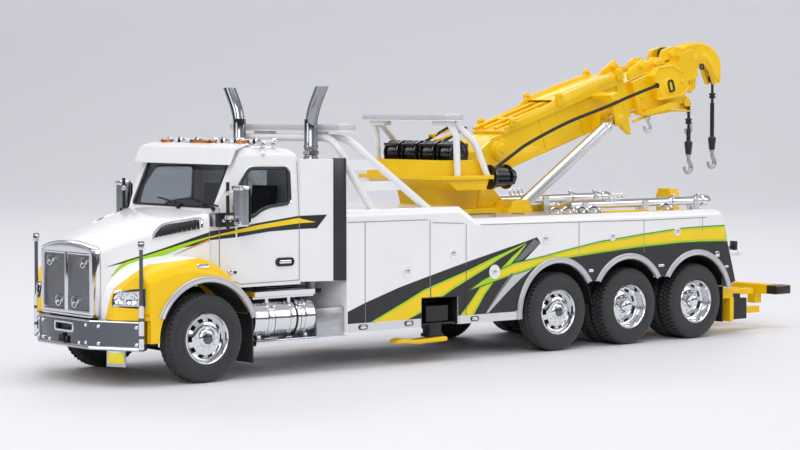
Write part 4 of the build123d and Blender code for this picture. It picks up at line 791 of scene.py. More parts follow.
REAR_LOWER = [(81.3, 17.9), (87.1, 19.2), (90.6, 19.9), (95.1, 21), (100.4, 21.9), (105.8, 23.3), (113, 24.4),
    (118.6, 24.9), (127.9, 25.6), (135.5, 26.1), (143.2, 26.6), (151, 26.9), (159, 27.2), (167.1, 27.2), (177.2, 27)]
SKIRT = 11.5


def offset_line(curve, up):
    """The line moved up."""
    return [(x, z + up) for x, z in curve]


def clipped(curve, x0, x1):
    """The line between two places along the truck."""
    return [(x0, height_on(curve, x0)), *[p for p in curve if x0 < p[0] < x1], (x1, height_on(curve, x1))]


def arch_line(x, arch_x, radius):
    """Height of a round arch over an axle at one place along the truck, 0 beside it."""
    reach = radius * radius - (x - arch_x) ** 2
    return TYRE_R + sqrt(reach) if reach > 0 else 0


def print_side(form):
    """All prints of the tow body's right side. Slots: charcoal, yellow, lime, dark green, silver, grey, black."""
    charcoal, yellow, lime, green, silver, grey, black = range(7)
    pocket = (64.9, 77.2, 16.7)
    # the charcoal wedge, with the outrigger pocket left out; its tail is cut on a slant
    low_right = [(41.3, SKIRT), (pocket[0], SKIRT), (pocket[0] + 0.01, pocket[2]), (pocket[1], pocket[2]),
        (pocket[1] + 0.01, SKIRT), (81.3, SKIRT)]
    band(form, clipped(WEDGE_TOP, 41.3, 81.3), low_right, 0.03, charcoal)
    tail = clipped(WEDGE_TOP, 81.3, 104.7) + [(106, 29.1)]
    band(form, tail, clipped(offset_line(REAR_UPPER, 0.1), 81.3, 100.1) + [(106, 29.08)], 0.03, charcoal)
    # below the rear stripe: charcoal to the first arch, black behind its crest
    rear_low = offset_line(REAR_LOWER, -0.1)
    stations = [81.3 + 0.5 * k for k in range(int((ARCH_XS[0] - 81.3) / 0.5) + 1)]
    lower = [(x, max(SKIRT if x < 97.5 else 9.6, arch_line(x, ARCH_XS[0], 14.5))) for x in stations]
    band(form, clipped(rear_low, 81.3, stations[-1]), lower, 0.03, charcoal)
    stations = [ARCH_XS[0] + 0.5 * k for k in range(int((177 - ARCH_XS[0]) / 0.5) + 1)]
    low = []
    for x in stations:
        floor = 18.1 if x < ARCH_XS[2] else 14.1
        low.append((x, max([floor] + [arch_line(x, a, 14.5) for a in ARCH_XS])))
    band(form, clipped(rear_low, stations[0], stations[-1]), low, 0.03, black)
    shape_print(form, [(176.2, 27.05), (178.3, 27), (181.8, 15.5), (178, 14.2), (176.2, 14.1)], 0.035, black)
    # band 1: lime edge, yellow middle
    band(form, BAND_1_UPPER, BAND_1_LOWER, 0.05, lime)
    band(form, *BAND_1_FILL, 0.07, yellow)
    # band 2: a lime spike above the rear stripe and a yellow leg below it
    shape_print(form, [(100.6, 28.9), (95.9, 25.9), (91.6, 22.6), (94.1, 22.95), (97.7, 25.9), (101, 29)], 0.055, lime)
    shape_print(form, [(84.7, 18.4), (81.3, 14.8), (77.9, SKIRT), (82.6, SKIRT), (84, 13.4), (86.4, 16.6),
        (89.5, 19.7)], 0.05, lime)
    shape_print(form, [(84.9, 17.9), (82, 14.8), (79, SKIRT + 0.1), (81.8, SKIRT + 0.1), (83.4, 13.8), (85.7, 16.8),
        (88, 19.2)], 0.07, yellow)
    # pale slash with its grey shadow
    shape_print(form, [(95.5, 21.6), (90.9, 16.7), (86.6, 11.7), (87.6, 11.7), (94.4, 16.9), (98.7, 19.9),
        (103.3, 22.6)], 0.05, silver)
    shape_print(form, [(95.5, 21.6), (90.9, 16.7), (86.6, 11.7), (86.9, 11.7), (91.6, 16.7), (96.4, 21.3)], 0.07, grey)
    # grey end of the wedge
    shape_print(form, [(103.7, 30.3), (96.6, 24.5), (99.4, 24.95), (105.9, 29.1)], 0.05, grey)
    # rear stripe: dark green line, lime, yellow, lime
    band(form, offset_line(REAR_UPPER, 0.25), offset_line(REAR_UPPER, -0.25), 0.06, green)
    band(form, REAR_UPPER, REAR_LOWER, 0.065, lime)
    span_up = [(x, z - 0.5) for x, z in REAR_UPPER if x > 87]
    span_low = [(x, z + 0.65) for x, z in REAR_LOWER if x > 87]
    band(form, clipped(span_up, 90.6, 177.2), clipped(span_low, 90.6, 177.2), 0.08, yellow)
    band(form, offset_line(REAR_LOWER, 0.12), offset_line(REAR_LOWER, -0.12), 0.085, green)
    # the rear corner, where the stripe runs on to the sloping edge
    shape_print(form, [(177.2, 31.4), (177.2, 27), (178.3, 26.95), (177.25, 31.4)], 0.065, lime)


class TOWTRUCK_OT_stripes(BuildStep):
    """Stripes printed along the tow body, the hood and the doors"""
    bl_idname = "tow_truck.stripes"
    bl_label = "Stripes"

    def make(self, paint, sizes):
        form = Form()
        print_side(form)
        form.mirrored().finish("body_stripes", "truck", ["ink_charcoal", "ink_yellow", "ink_green", "ink_dark_green",
            "ink_silver", "ink_grey", "ink_black"], "white_paint", sharp=180)
        # each stripe: finish, upper and lower line, lift off the paint
        hood = ((0, eased([(-19.5, 27.6), (-15.2, 28.85), (-11.5, 29.9), (-6.7, 31.3), (-2.1, 32.8), (2.5, 34.4),
            (4.6, 35.1)]), eased([(-19.5, 27.5), (-15.2, 28.4), (-11.5, 29.3), (-5.6, 30.9), (0.2, 31.8), (4.6, 32.9)]),
            0.05), (1, eased([(-18.7, 25.3), (-16, 28.1), (-11.5, 29.5), (-5.6, 31.2), (0.2, 32.9), (4.6, 34.1)]),
            eased([(-18.7, 25.2), (-14, 27.5), (-9.1, 29), (-4.4, 30.4), (0.2, 32.2), (4.6, 33.7)]), 0.08),
            (2, [(-4, 29.7), (-1, 31.1), (2.5, 32.6), (4.6, 33.5)], [(-4, 29.65), (-1, 30.8), (2.5, 32.2), (4.6, 33)],
            0.1))
        doors = ((0, [(4.9, 35.2), (10, 35.9), (16.7, 36.9), (29.3, 38.3), (36.5, 38.5)], [(4.9, 33.1), (9.7, 33.6),
            (14.9, 34.2), (20.8, 34.8), (29.3, 35.1), (34, 35.2), (36.5, 38.4)], 0.05),
            (1, [(4.9, 33.9), (7.6, 34.6), (10.8, 35.4), (16.7, 36.4), (29.3, 37.8), (33.6, 36.8)],
            [(4.9, 33.5), (7.6, 34.2), (11.4, 34.8), (14.9, 35.1), (20.9, 35.8), (29.3, 36.5), (33.6, 36.7)], 0.08))
        for name, stripes, nodes, y, rows, step, inks in (
                ("hood_stripes", hood, ["hood_shell"], 16, (4, 4, 2), 0.7, ["ink_black", "ink_green", "ink_orange"]),
                ("door_stripes", doors, ["cab_shell", "side_panels"], CAB_Y, (3, 2), 0.8, ["ink_black", "ink_yellow"])):
            form = Form()
            surface = surface_of(*nodes)
            for slot, upper, lower, lift in stripes:
                band(form, upper, lower, lift, slot, surface, y, rows[slot], step)
            form.mirrored().finish(name, "truck", inks, "white_paint", sharp=180)


class TOWTRUCK_OT_panel_lines(BuildStep):
    """Lines of painted shade between doors and panels, latches and skirt lights"""
    bl_idname = "tow_truck.panel_lines"
    bl_label = "Panel lines and latches"

    def make(self, paint, sizes):
        width = sizes.seam / MM
        form = Form()
        # lines of painted shade where the body's panels meet
        for x, low, high in ((46.8, SKIRT, 36.5), (67.8, 16.8, 36.4), (79.9, SKIRT, 35), (120, 24.6, 34.2),
                (144.7, 25.2, 33.9), (168, 30, 34)):
            line_print(form, [(x, low), (x, high)], width, 0.1, 0)
        for run in ([(41.3, 36.5), (66.9, 36.4)], [(68.6, 35.6), (79, 35.1)], [(84.7, 34.6), (120, 34.2)],
                [(120, 34.2), (147, 33.9)], [(147, 33.9), (169.5, 34)]):
            line_print(form, run, width, 0.1, 0)
        # two short runs of darker painted shade
        for run in ([(68, 19.8), (68, 16.8)], [(79.9, 24.3), (79.9, SKIRT)]):
            line_print(form, run, width, 0.11, 1)
        # the same painted shade round the cab's door
        nose = surface_of("hood_shell", "cab_shell", "side_panels")
        for run in ([(7.3, 24.6), (7.3, 40.8)], [(29.6, 22.8), (29.6, 51.5)], [(7.4, 24.6), (11.9, 22.5),
                (29.6, 22.7)]):
            steps = []
            for (x0, z0), (x1, z1) in zip(run, run[1:]):
                steps += [(x0 + (x1 - x0) * k / 12, z0 + (z1 - z0) * k / 12) for k in range(12)]
            line_print(form, steps + [run[-1]], width, 0.1, 0, nose, CAB_Y)
        form.mirrored().finish("panel_lines", "truck", ["seam_shade", "dark_seam_shade"], "white_paint", sharp=180)
        form = Form()
        for x, z, grow in ((60.3, 23.7, 1.2), (75.5, 27.5, 1), (89.7, 22.2, 1.5), (107.6, 30.1, 0.95),
                (132.6, 29.9, 0.95), (157.8, 30.4, 0.95)):
            radius = sizes.latch / MM * grow
            form.lathe([(radius + 0.15, -0.05), (radius + 0.15, 0.16), (radius, 0.28), (radius - 0.2, 0.2), (0, 0.14)],
                (x, BODY_Y, z), (0, 1, 0), 24, 0)
            form.blocks((x - 0.62, BODY_Y + 0.1, z - 0.5, x - 0.1, BODY_Y + 0.42, z + 0.55, 0.08, 1),
                (x + 0.1, BODY_Y + 0.1, z - 0.5, x + 0.62, BODY_Y + 0.42, z + 0.55, 0.08, 1))
        form.mirrored().finish("body_latches", "truck", ["white", "chrome"], "chrome_plate")
        form = Form()
        for x, z, length, tall in ((45.9, 10.5, 2.9, 1.25), (60.6, 10.6, 2.9, 1.25), (82.6, 10.5, 2.9, 1.25),
                (124.5, 21, 1.9, 0.8), (151.5, 21.2, 2.4, 0.7), (178, 19.8, 1.7, 0.6)):
            ring = [(x - length / 2 + tall / 2 + cos(a) * tall / 2, z + sin(a) * tall / 2)
                for a in [radians(d) for d in range(90, 271, 20)]]
            ring += [(x + length / 2 - tall / 2 + cos(a) * tall / 2, z + sin(a) * tall / 2)
                for a in [radians(d) for d in range(-90, 91, 20)]]
            out = BODY_Y + (0.3 if z < 12 else 0)
            form.prism(ring, out, out + 0.16, 0.05, 1 if z < 12 else 0)
            small = [(x + (px - x) * 0.72, z + (pz - z) * 0.62) for px, pz in ring]
            form.prism(small, out + 0.1, out + 0.24, 0.05, 0 if z < 12 else 2)
        form.block((173.3, BODY_Y, 22.7), (175, BODY_Y + 0.2, 24.2), 0.06, 0)
        form.mirrored().finish("side_lights", "truck", ["chrome", "black", "lens"], "chrome_plate")


# ---------------- stage
VIEW_TURN, VIEW_TIP = 0.690243, 0.0495692      # the camera's turn round the truck and its look down, in radians


class TOWTRUCK_OT_stage(BuildStep):
    """Pale sweep, soft lamps and camera"""
    bl_idname = "tow_truck.stage"
    bl_label = "Studio"

    def make(self, paint, sizes):
        scene = bpy.context.scene
        scene.view_settings.view_transform = "Standard"
        # paper sweep: floor, curve and back in one sheet
        part = bmesh.new()
        profile = [(-3.0, 0.0), (0.9, 0.0)] + [(0.9 + 0.7 * sin(radians(a)), 0.7 - 0.7 * cos(radians(a)))
            for a in range(10, 91, 10)] + [(1.6, 3.5)]
        turn = Matrix.Rotation(-VIEW_TURN, 4, "Z")
        rows = [[part.verts.new(turn @ Vector((x, y, z))) for x in (-5.0, 5.0)] for y, z in profile]
        web(part, rows, False)
        data = bpy.data.meshes.new("paper_sweep")
        part.to_mesh(data)
        part.free()
        data.polygons.foreach_set("use_smooth", [True] * len(data.polygons))
        sweep = bpy.data.objects.new("paper_sweep", data)
        scene.collection.objects.link(sweep)
        # matt backdrop paper of one grey with painted light: pale grey on the floor, painted paler up the back of the
        # sweep
        paper, tree, main, place = material("Backdrop paper", roughness=0.6)
        height = add(tree, "ShaderNodeSeparateXYZ", {0: place}).outputs["Z"]
        shade = add(tree, "ShaderNodeMapRange", {"Value": height, "From Min": 0.0, "From Max": 0.25})
        tone = add(tree, "ShaderNodeValToRGB", {0: shade.outputs[0]}, ((0.0, rgb("DCDCE0")), (1.0, rgb("FBFAFF"))))
        tree.links.new(tone.outputs[0], main.inputs["Base Color"])
        data.materials.append(paper)
        # the room round the sweep: dark low walls, so plating shows a dark band, and a pale ceiling
        world = bpy.data.worlds.new("Studio air")
        scene.world = world
        world.use_nodes = True
        air = world.node_tree
        way = add(air, "ShaderNodeTexCoord").outputs["Generated"]
        height = add(air, "ShaderNodeSeparateXYZ", {0: way}).outputs["Z"]
        tone = add(air, "ShaderNodeValToRGB", {0: height}, [(place, rgb(code)) for place, code in (
            (0.02, "3A3B40"), (0.5, "EDEEF3"), (0.16, "505258"), (0.24, "D5D6DC"))])
        air.links.new(tone.outputs[0], air.nodes["Background"].inputs["Color"])
        air.nodes["Background"].inputs["Strength"].default_value = 0.6
        for name, place, aim, size, power in (
                ("Top box", (0.0, -0.15, 1.1), (0, 0, 0.03), (1.2, 0.8), 7.2),
                ("Key box", (-0.9, -0.9, 0.75), (0, 0, 0.03), (0.7, 0.7), 6.2),
                ("Front box", (-1.2, 0.1, 0.4), (-0.06, 0, 0.04), (0.6, 0.5), 1.9),
                ("Fill box", (0.9, -0.9, 0.5), (0.03, 0, 0.03), (0.8, 0.6), 2.6),
                ("Back strip", (0.5, 0.8, 0.7), (0, 0, 0.05), (0.8, 0.25), 2.2)):
            lamp = bpy.data.lights.new(name, "AREA")
            lamp.shape, lamp.size, lamp.size_y, lamp.energy = "RECTANGLE", size[0], size[1], power
            holder = bpy.data.objects.new(name, lamp)
            holder.location = place
            holder.rotation_euler = (Vector(aim) - Vector(place)).to_track_quat("-Z", "Y").to_euler()
            scene.collection.objects.link(holder)
        turn, tip = VIEW_TURN, VIEW_TIP
        right = Vector((cos(turn), -sin(turn), 0))
        up = Vector((sin(turn) * sin(tip), cos(turn) * sin(tip), cos(tip)))
        back = right.cross(up)
        lens = bpy.data.cameras.new("Camera")
        lens.lens, lens.sensor_width, lens.clip_start = 102.507, 36.0, 0.01
        holder = bpy.data.objects.new("Camera", lens)
        aim = Matrix((right, up, back)).transposed().to_4x4()
        holder.matrix_world = Matrix.Translation((-0.39733, -0.46317, 0.06354)) @ aim
        scene.collection.objects.link(holder)
        scene.camera = holder


# ---------------- front end
GRILLE_X = -23.4
GRILLE_HALF = 11.4
MESH = (17.2, 30.6)        # low and high edge of the mesh panels
MESH_IN, MESH_OUT = 0.75, 10.1


def round_outline(low, high, corner, steps=4):
    """A rectangle's outline with round corners, in two coordinates."""
    ends = [(high[0] - corner, high[1] - corner, 0), (low[0] + corner, high[1] - corner, 90),
        (low[0] + corner, low[1] + corner, 180), (high[0] - corner, low[1] + corner, 270)]
    return [(x + corner * cos(radians(a + 90 * k / steps)), z + corner * sin(radians(a + 90 * k / steps)))
        for x, z, a in ends for k in range(steps + 1)]


def frame_ring(form, outer, inner, near, far, axis="x", rounding=0.1, slot=0):
    """A flat ring between two outlines with as many points each, thick along an axis."""
    part = bmesh.new()
    rings = [[part.verts.new(ORDER[axis](a, b, d)) for a, b in line]
        for line, d in ((outer, near), (outer, far), (inner, far), (inner, near))]
    web(part, rings + rings[:1])
    form.take(part, rounding, 2, slot)


def lamp_pod(form, x, y, z, radius, cup, lens):
    """A small round lamp facing forwards: plated cup and a domed lens."""
    form.lathe([(radius * 0.7, -0.5), (radius, -0.35), (radius * 1.02, 0.3), (radius * 0.86, 0.36),
        (radius * 0.8, 0.1)], (x, y, z), (-1, 0, 0), 20, cup)
    form.lathe([(radius * 0.8, 0.12), (radius * 0.6, 0.26), (radius * 0.3, 0.34), (0, 0.36)], (x, y, z), (-1, 0, 0), 20,
        lens)


class TOWTRUCK_OT_grille(BuildStep):
    """Radiator grille: plated shell, woven mesh, centre bar and four small lamps"""
    bl_idname = "tow_truck.grille"
    bl_label = "Grille"

    def make(self, paint, sizes):
        form = Form()
        x, half = GRILLE_X, GRILLE_HALF
        # shell: an arched cap over two upright sides and a sill
        arch = [(half - 0.2 - 2 * (half - 0.2) * k / 24, 0) for k in range(25)]
        outer = [(y, 31.4 + 2 * (1 - (y / half) ** 2) ** 0.8) for y, _ in arch]
        inner = [(y * 0.9, 30.6) for y, _ in arch]
        outer += [(-half, 30.6), (-half, 16.2), (-half + 0.5, 15.6), (half - 0.5, 15.6), (half, 16.2), (half, 30.6)]
        inner += [(-MESH_OUT, 29.9), (-MESH_OUT, 17.4), (-MESH_OUT + 0.2, MESH[0]), (MESH_OUT - 0.2, MESH[0]),
            (MESH_OUT, 17.4), (MESH_OUT, 29.9)]
        frame_ring(form, outer, inner, x, -21.05, "x", 0.22)
        # raised bead round the shell's front, and the cap's lower lip
        bead = [Vector((x + 0.02, y * 0.965, z - 0.35)) for y, z in outer[:25]]
        form.pipe(bead, 0.24, 8, 0)
        form.blocks((x - 0.05, -MESH_OUT, 30.2, x + 0.9, MESH_OUT, 30.8, 0.15, 0),
            (x - 0.12, -MESH_IN, MESH[0] - 0.4, x + 1, MESH_IN, 30.6, 0.18, 0),
            (x - 0.1, -half + 0.3, 15.6, x + 0.6, half - 0.3, 16.4, 0.2, 0))
        for side in (-1, 1):
            # woven mesh: flat strips both ways before a dark backing
            for k in range(24):
                y = side * (MESH_IN + 0.2 + 0.385 * k)
                form.block((x + 0.62, y - 0.085, MESH[0]), (x + 0.8, y + 0.085, 30.4), 0, 1)
            for k in range(38):
                z = MESH[0] + 0.2 + 0.352 * k
                form.block((x + 0.56, side * MESH_IN, z - 0.07), (x + 0.7, side * MESH_OUT, z + 0.07), 0, 1)
            form.block((x + 1.2, side * MESH_IN * 0.5, MESH[0] - 0.2), (x + 1.5, side * (MESH_OUT + 0.2), 30.6), 0, 2)
        for y, z, radius in ((-7.4, 28.4, 1.25), (7.4, 28.4, 1.25), (-3.6, 19, 1.35), (3.6, 19, 1.35)):
            lamp_pod(form, x + 0.2, y, z, radius, 0, 3)
            form.block((x + 0.1, y - radius - 0.3, z - 0.3), (x + 0.6, y + radius + 0.3, z + 0.3), 0.1)
        form.finish("grille_plated", "truck", ["chrome", "aluminium_dull", "black", "lens"], "chrome_plate", "grille")


class TOWTRUCK_OT_bumper(BuildStep):
    """Bumper fittings: bright lips, bolts, tow eye, marker rods, steps and a blank plate"""
    bl_idname = "tow_truck.bumper"
    bl_label = "Bumper fittings"

    def make(self, paint, sizes):
        form = Form()
        line = [(-17.2, 23.8), (-24, 11.3), (-24, -11.3), (-17.2, -23.8)]
        for z, out, tall in ((8.7, 0.32, 0.5), (15, 0.1, 0.24)):
            for (x0, y0), (x1, y1) in zip(line, line[1:]):
                form.pipe([(x0 - out * 0.3, y0, z + tall / 2), (x1 - out * 0.3, y1, z + tall / 2)], tall, 10, 0)
        # frame of the upper slot and the tow pin in the lower one
        frame_ring(form, round_outline((-4.3, 11.9), (4.3, 14.5), 0.7), round_outline((-3.7, 12.5), (3.7, 13.9), 0.4),
            -24.25, -23.4, "x", 0.1)
        form.blocks((-22.9, -4, 12, -22.6, 4, 14.4, 0, 1), (-22.9, -2.8, 9.4, -22.6, 2.8, 11.2, 0, 1))
        form.rod((-24.4, 0, 9.6), (-24.4, 0, 11.6), 0.35, 10, 0.1, 1)
        for y in (-1.5, 1.5):
            form.rod((-24.5, y, 10.4), (-23.6, y, 10.4), 0.6, 12, 0.15, 1)
        form.block((-24.35, -2.3, 9.3), (-23.8, 2.3, 9.7), 0.1, 1)
        for y, z in ((-9.6, 14.1), (9.6, 14.1), (-9.6, 10), (9.6, 10), (-6.6, 9.7), (6.6, 9.7)):
            form.lathe([(0.55, 0), (0.5, 0.22), (0.25, 0.4), (0, 0.44)], (-24, y, z), (-1, 0, 0), 14, 0)
        for side in (-1, 1):
            for share, z in ((0.16, 14), (0.16, 10), (0.86, 14), (0.86, 10)):
                spot = (-24 + 6.8 * share, side * (11.3 + 12.5 * share), z)
                form.lathe([(0.5, 0), (0.45, 0.22), (0.2, 0.36), (0, 0.4)], spot, (-0.878, side * 0.478, 0), 14, 0)
        # marker rods: thin upper run, cap with rings, thick clamp at the bumper
        for side in (-1, 1):
            x, y = -17.7, side * 23.4
            form.rod((x, y, 8.8), (x, y, 11.6), 0.68, 16, 0.2)
            form.rod((x, y, 12), (x, y, 15.6), 0.7, 16, 0.2)
            form.rod((x, y, 16), (x, y, 19.1), 0.68, 16, 0.25)
            form.lathe([(0.5, 0), (0.85, 0.15), (0.88, 0.5), (0.6, 0.62), (0.6, 0.9), (0.86, 1), (0.84, 1.5),
                (0.5, 1.9), (0, 2)], (x, y, 31.9), (0, 0, 1), 16, 0)
            form.block((x - 0.3, y - side, 12.6), (x + 0.5, y, 13.4), 0.1)
        form.finish("bumper_fittings", "truck", ["chrome", "black"], "chrome_plate")
        # blank number plate below the bumper, in its bracket
        form = Form()
        x, y, z = -20.7, -17.4, 6.7
        turn = turned_at((x, y, z), -61.5, "Z")
        form.block((x - 2.5, y - 0.2, z - 2), (x + 2.5, y + 0.15, z + 1.6), 0.1, 0, turn=turn)
        form.block((x - 2.1, y - 0.3, z - 1.2), (x + 2.1, y - 0.1, z + 1.2), 0.05, 1, turn=turn)
        form.block((x - 2.5, y - 0.1, z + 1.4), (x + 2.5, y + 0.6, z + 2.4), 0.1, 0, turn=turn)
        form.finish("number_plate", "truck", ["aluminium", "plate"], "aluminium_trim")


# ---------------- cab and fenders

def side_y(z):
    """Half width of the cab at one height: upright to the waist, then leaning in."""
    return CAB_Y - max(0, z - 38) * 0.07


def on_side(x, z, lift=0):
    """A place on the cab's right side."""
    return Vector((x, side_y(z) + lift, z))


def on_screen(y, share, lift=0):
    """A place on the windscreen: share runs from its foot to its head."""
    return Vector((6 + 5.6 * share - 0.9 * lift, y, 40 + 12 * share + 0.42 * lift))


def loop_path(points, bend, steps=4):
    """A closed outline with its corners rounded."""
    rows = [Vector(p) for p in points]
    start = (rows[0] + rows[1]) / 2
    return bent_path([start, *rows[1:], rows[0], start], bend, steps)[:-1]


def oblique(surface, origin, along, outward, s, z, lift):
    """The place on a surface met from outside, square to a line seen from above."""
    spot = Vector((origin[0] + along[0] * s, origin[1] + along[1] * s, z))
    away = Vector((outward[0], outward[1], 0))
    hit, _, _, _ = surface.ray_cast(at(*(spot + away * 12)), -away, 0.03)
    if hit is None:
        return spot + away * lift
    return Vector((hit.x / MM - AXLE_X, hit.y / MM, hit.z / MM)) + away * lift


WINDOW = [(15.3, 50), (26.8, 49.9), (26.8, 41.4), (20.6, 40.8), (18.2, 40), (16.2, 38.7), (11.8, 38.6), (10.4, 40.6),
    (11.9, 45.6)]


class TOWTRUCK_OT_windows(BuildStep):
    """Rubber seals, bright window trim and wipers"""
    bl_idname = "tow_truck.windows"
    bl_label = "Window seals and wipers"

    def make(self, paint, sizes):
        form = Form()
        for lift, radius, slot, grow in ((0, 0.4, 0, 0), (0.1, 0.14, 1, 0.55)):
            ring = [(x + grow * (x - 19.3) / 7.5, z + grow * (z - 44.6) / 5.6) for x, z in WINDOW]
            form.pipe(loop_path([on_side(x, z, lift) for x, z in ring], 1.3), radius, 8, slot, closed=True)
        form.mirrored()
        half = 17.2
        corners = [on_screen(-half, 0.07), on_screen(half, 0.07), on_screen(half, 0.93), on_screen(-half, 0.93)]
        form.pipe(loop_path(corners, 1.2), 0.32, 8, 0, closed=True)
        # two wipers: spindle, arm and blade
        for base in (-3.9, -18.6):
            form.rod(on_screen(base, 0.02, 0.1), on_screen(base, 0.06, 1.2), 0.5, 10, 0.1, 0)
            form.pipe([on_screen(base, 0.05, 0.9), on_screen(base + 2.6, 0.12, 0.9), on_screen(base + 5.2, 0.15, 0.6)],
                0.2, 8, 0)
            form.pipe([on_screen(base - 1.6, 0.09, 0.45), on_screen(base + 10.2, 0.2, 0.45)], 0.22, 8, 0)
        form.finish("window_seals", "truck", ["black", "chrome"], "dark_plastic")


class TOWTRUCK_OT_cab_fittings(BuildStep):
    """Door handles, mirror faces, brackets, vents, visor and the dark strip of painted shade behind the cab"""
    bl_idname = "tow_truck.cab_fittings"
    bl_label = "Cab fittings"

    def make(self, paint, sizes):
        nose = surface_of("hood_shell")
        chrome, black, white, _, _, dull = range(6)
        form = Form()
        # door handle: black oval dish with a bright paddle
        x, z = 25.2, 27.3
        oval = round_outline((x - 2.8, z - 1.05), (x + 2.8, z + 1.05), 1, 6)
        inner = round_outline((x - 2.2, z - 0.6), (x + 2.2, z + 0.6), 0.58, 6)
        frame_ring(form, oval, inner, CAB_Y - 0.05, CAB_Y + 0.35, "y", 0.12, black)
        form.prism(inner, CAB_Y - 0.05, CAB_Y + 0.06, 0, black)
        form.prism(round_outline((x - 1.9, z - 0.42), (x + 1.9, z + 0.45), 0.4, 5), CAB_Y, CAB_Y + 0.42, 0.12, chrome)
        # lock knob by the front of the door
        form.lathe([(0.62, 0), (0.6, 0.25), (0.3, 0.4), (0, 0.42)], (9.4, CAB_Y - 0.4, 25.6), (-0.3, 1, 0), 14, chrome)
        form.lathe([(0.36, 0), (0.36, 0.3), (0, 0.34)], (10.6, CAB_Y - 0.2, 25.4), (0, 1, 0), 12, black)
        # mirror: plated shell round a dark glass, its arms and the bracket box
        form.blocks((10.35, 23.7, 37.5, 10.6, 27.3, 45.6, 0.1, black),
            (7.45, 23.5, 45, 10.25, 27.5, 46.25, 0.5, chrome), (7.5, 23.7, 36.6, 10.3, 27.3, 37.8, 0.45, chrome))
        form.pipe([(7.2, 22.6, 47), (7.2, 22.6, 36)], 0.42, 10, slot=black)
        for z in (38.6, 44.4):
            form.rod((7.2, 22.6, z), (8.4, 24.2, z), 0.5, 10, 0.1, chrome)
            form.rod((6.9, 22.1, z), (7.4, 23, z), 0.62, 10, 0.1, chrome)
        form.blocks((5.1, 20.2, 36.3, 10.5, 21.45, 39.7, 0.3, black), (6, 21.2, 37.5, 8.4, 22.4, 38.3, 0.2, chrome))
        form.rod((8, 21.3, 38.9), (7.4, 22.8, 38.9), 0.34, 10, 0.08, chrome)
        # vent in the side of the hood: dark mesh in a plated rim
        top = [(-8.3, 34.4), (-7.4, 35.8), (-4.9, 37), (-1, 37.7), (2.4, 38.2)]
        low = [(-8.3, 33.9), (-5.6, 34.4), (-2.8, 34.95), (0.2, 35.5), (2.4, 35.9)]
        band(form, top, low, 0.1, black, nose, 17, 4, 0.6)
        ring = [laid_on(nose, x, z, 17, 0.12) for x, z in (
            (-8.6, 33.8), (-5.6, 34.3), (-2.8, 34.85), (0.2, 35.4), (2.6, 35.9), (2.9, 37), (2.6, 38.3), (-1, 37.8),
            (-4.9, 37.1), (-7.2, 35.9), (-8.4, 34.5))]
        form.pipe(smooth_path(ring + [ring[0]], 3)[:-1], 0.3, 8, chrome, closed=True)
        for k in range(9):
            x = -7.2 + 1.1 * k
            form.pipe([laid_on(nose, x, height_on(low, x), 17, 0.16), laid_on(nose, x + 0.5, height_on(top, x + 0.5),
                17, 0.16)], 0.09, 5, dull)
        form.mirrored()
        # lip along the visor's lower edge
        form.block((8.85, -20.5, 50.95), (9.5, 20.5, 51.35), 0.12, white)
        form.finish("cab_fittings", "truck", ["chrome", "black", "white", "amber", "lens", "aluminium_dull"],
            "chrome_plate")
        # charcoal strip closing the gap behind the cab: painted shade, a dark sheet where the gap lies in shadow
        form = Form()
        form.prism([(38.1, 23.5), (38.25, 23.75), (40.25, 25.25), (40.8, 25.25), (40.8, 24), (38.1, 22.75)], 22.3, 52.3,
            0.12, axis="z")
        form.mirrored().finish("cab_gap_strip", "truck", "ink_charcoal", "dark_plastic")


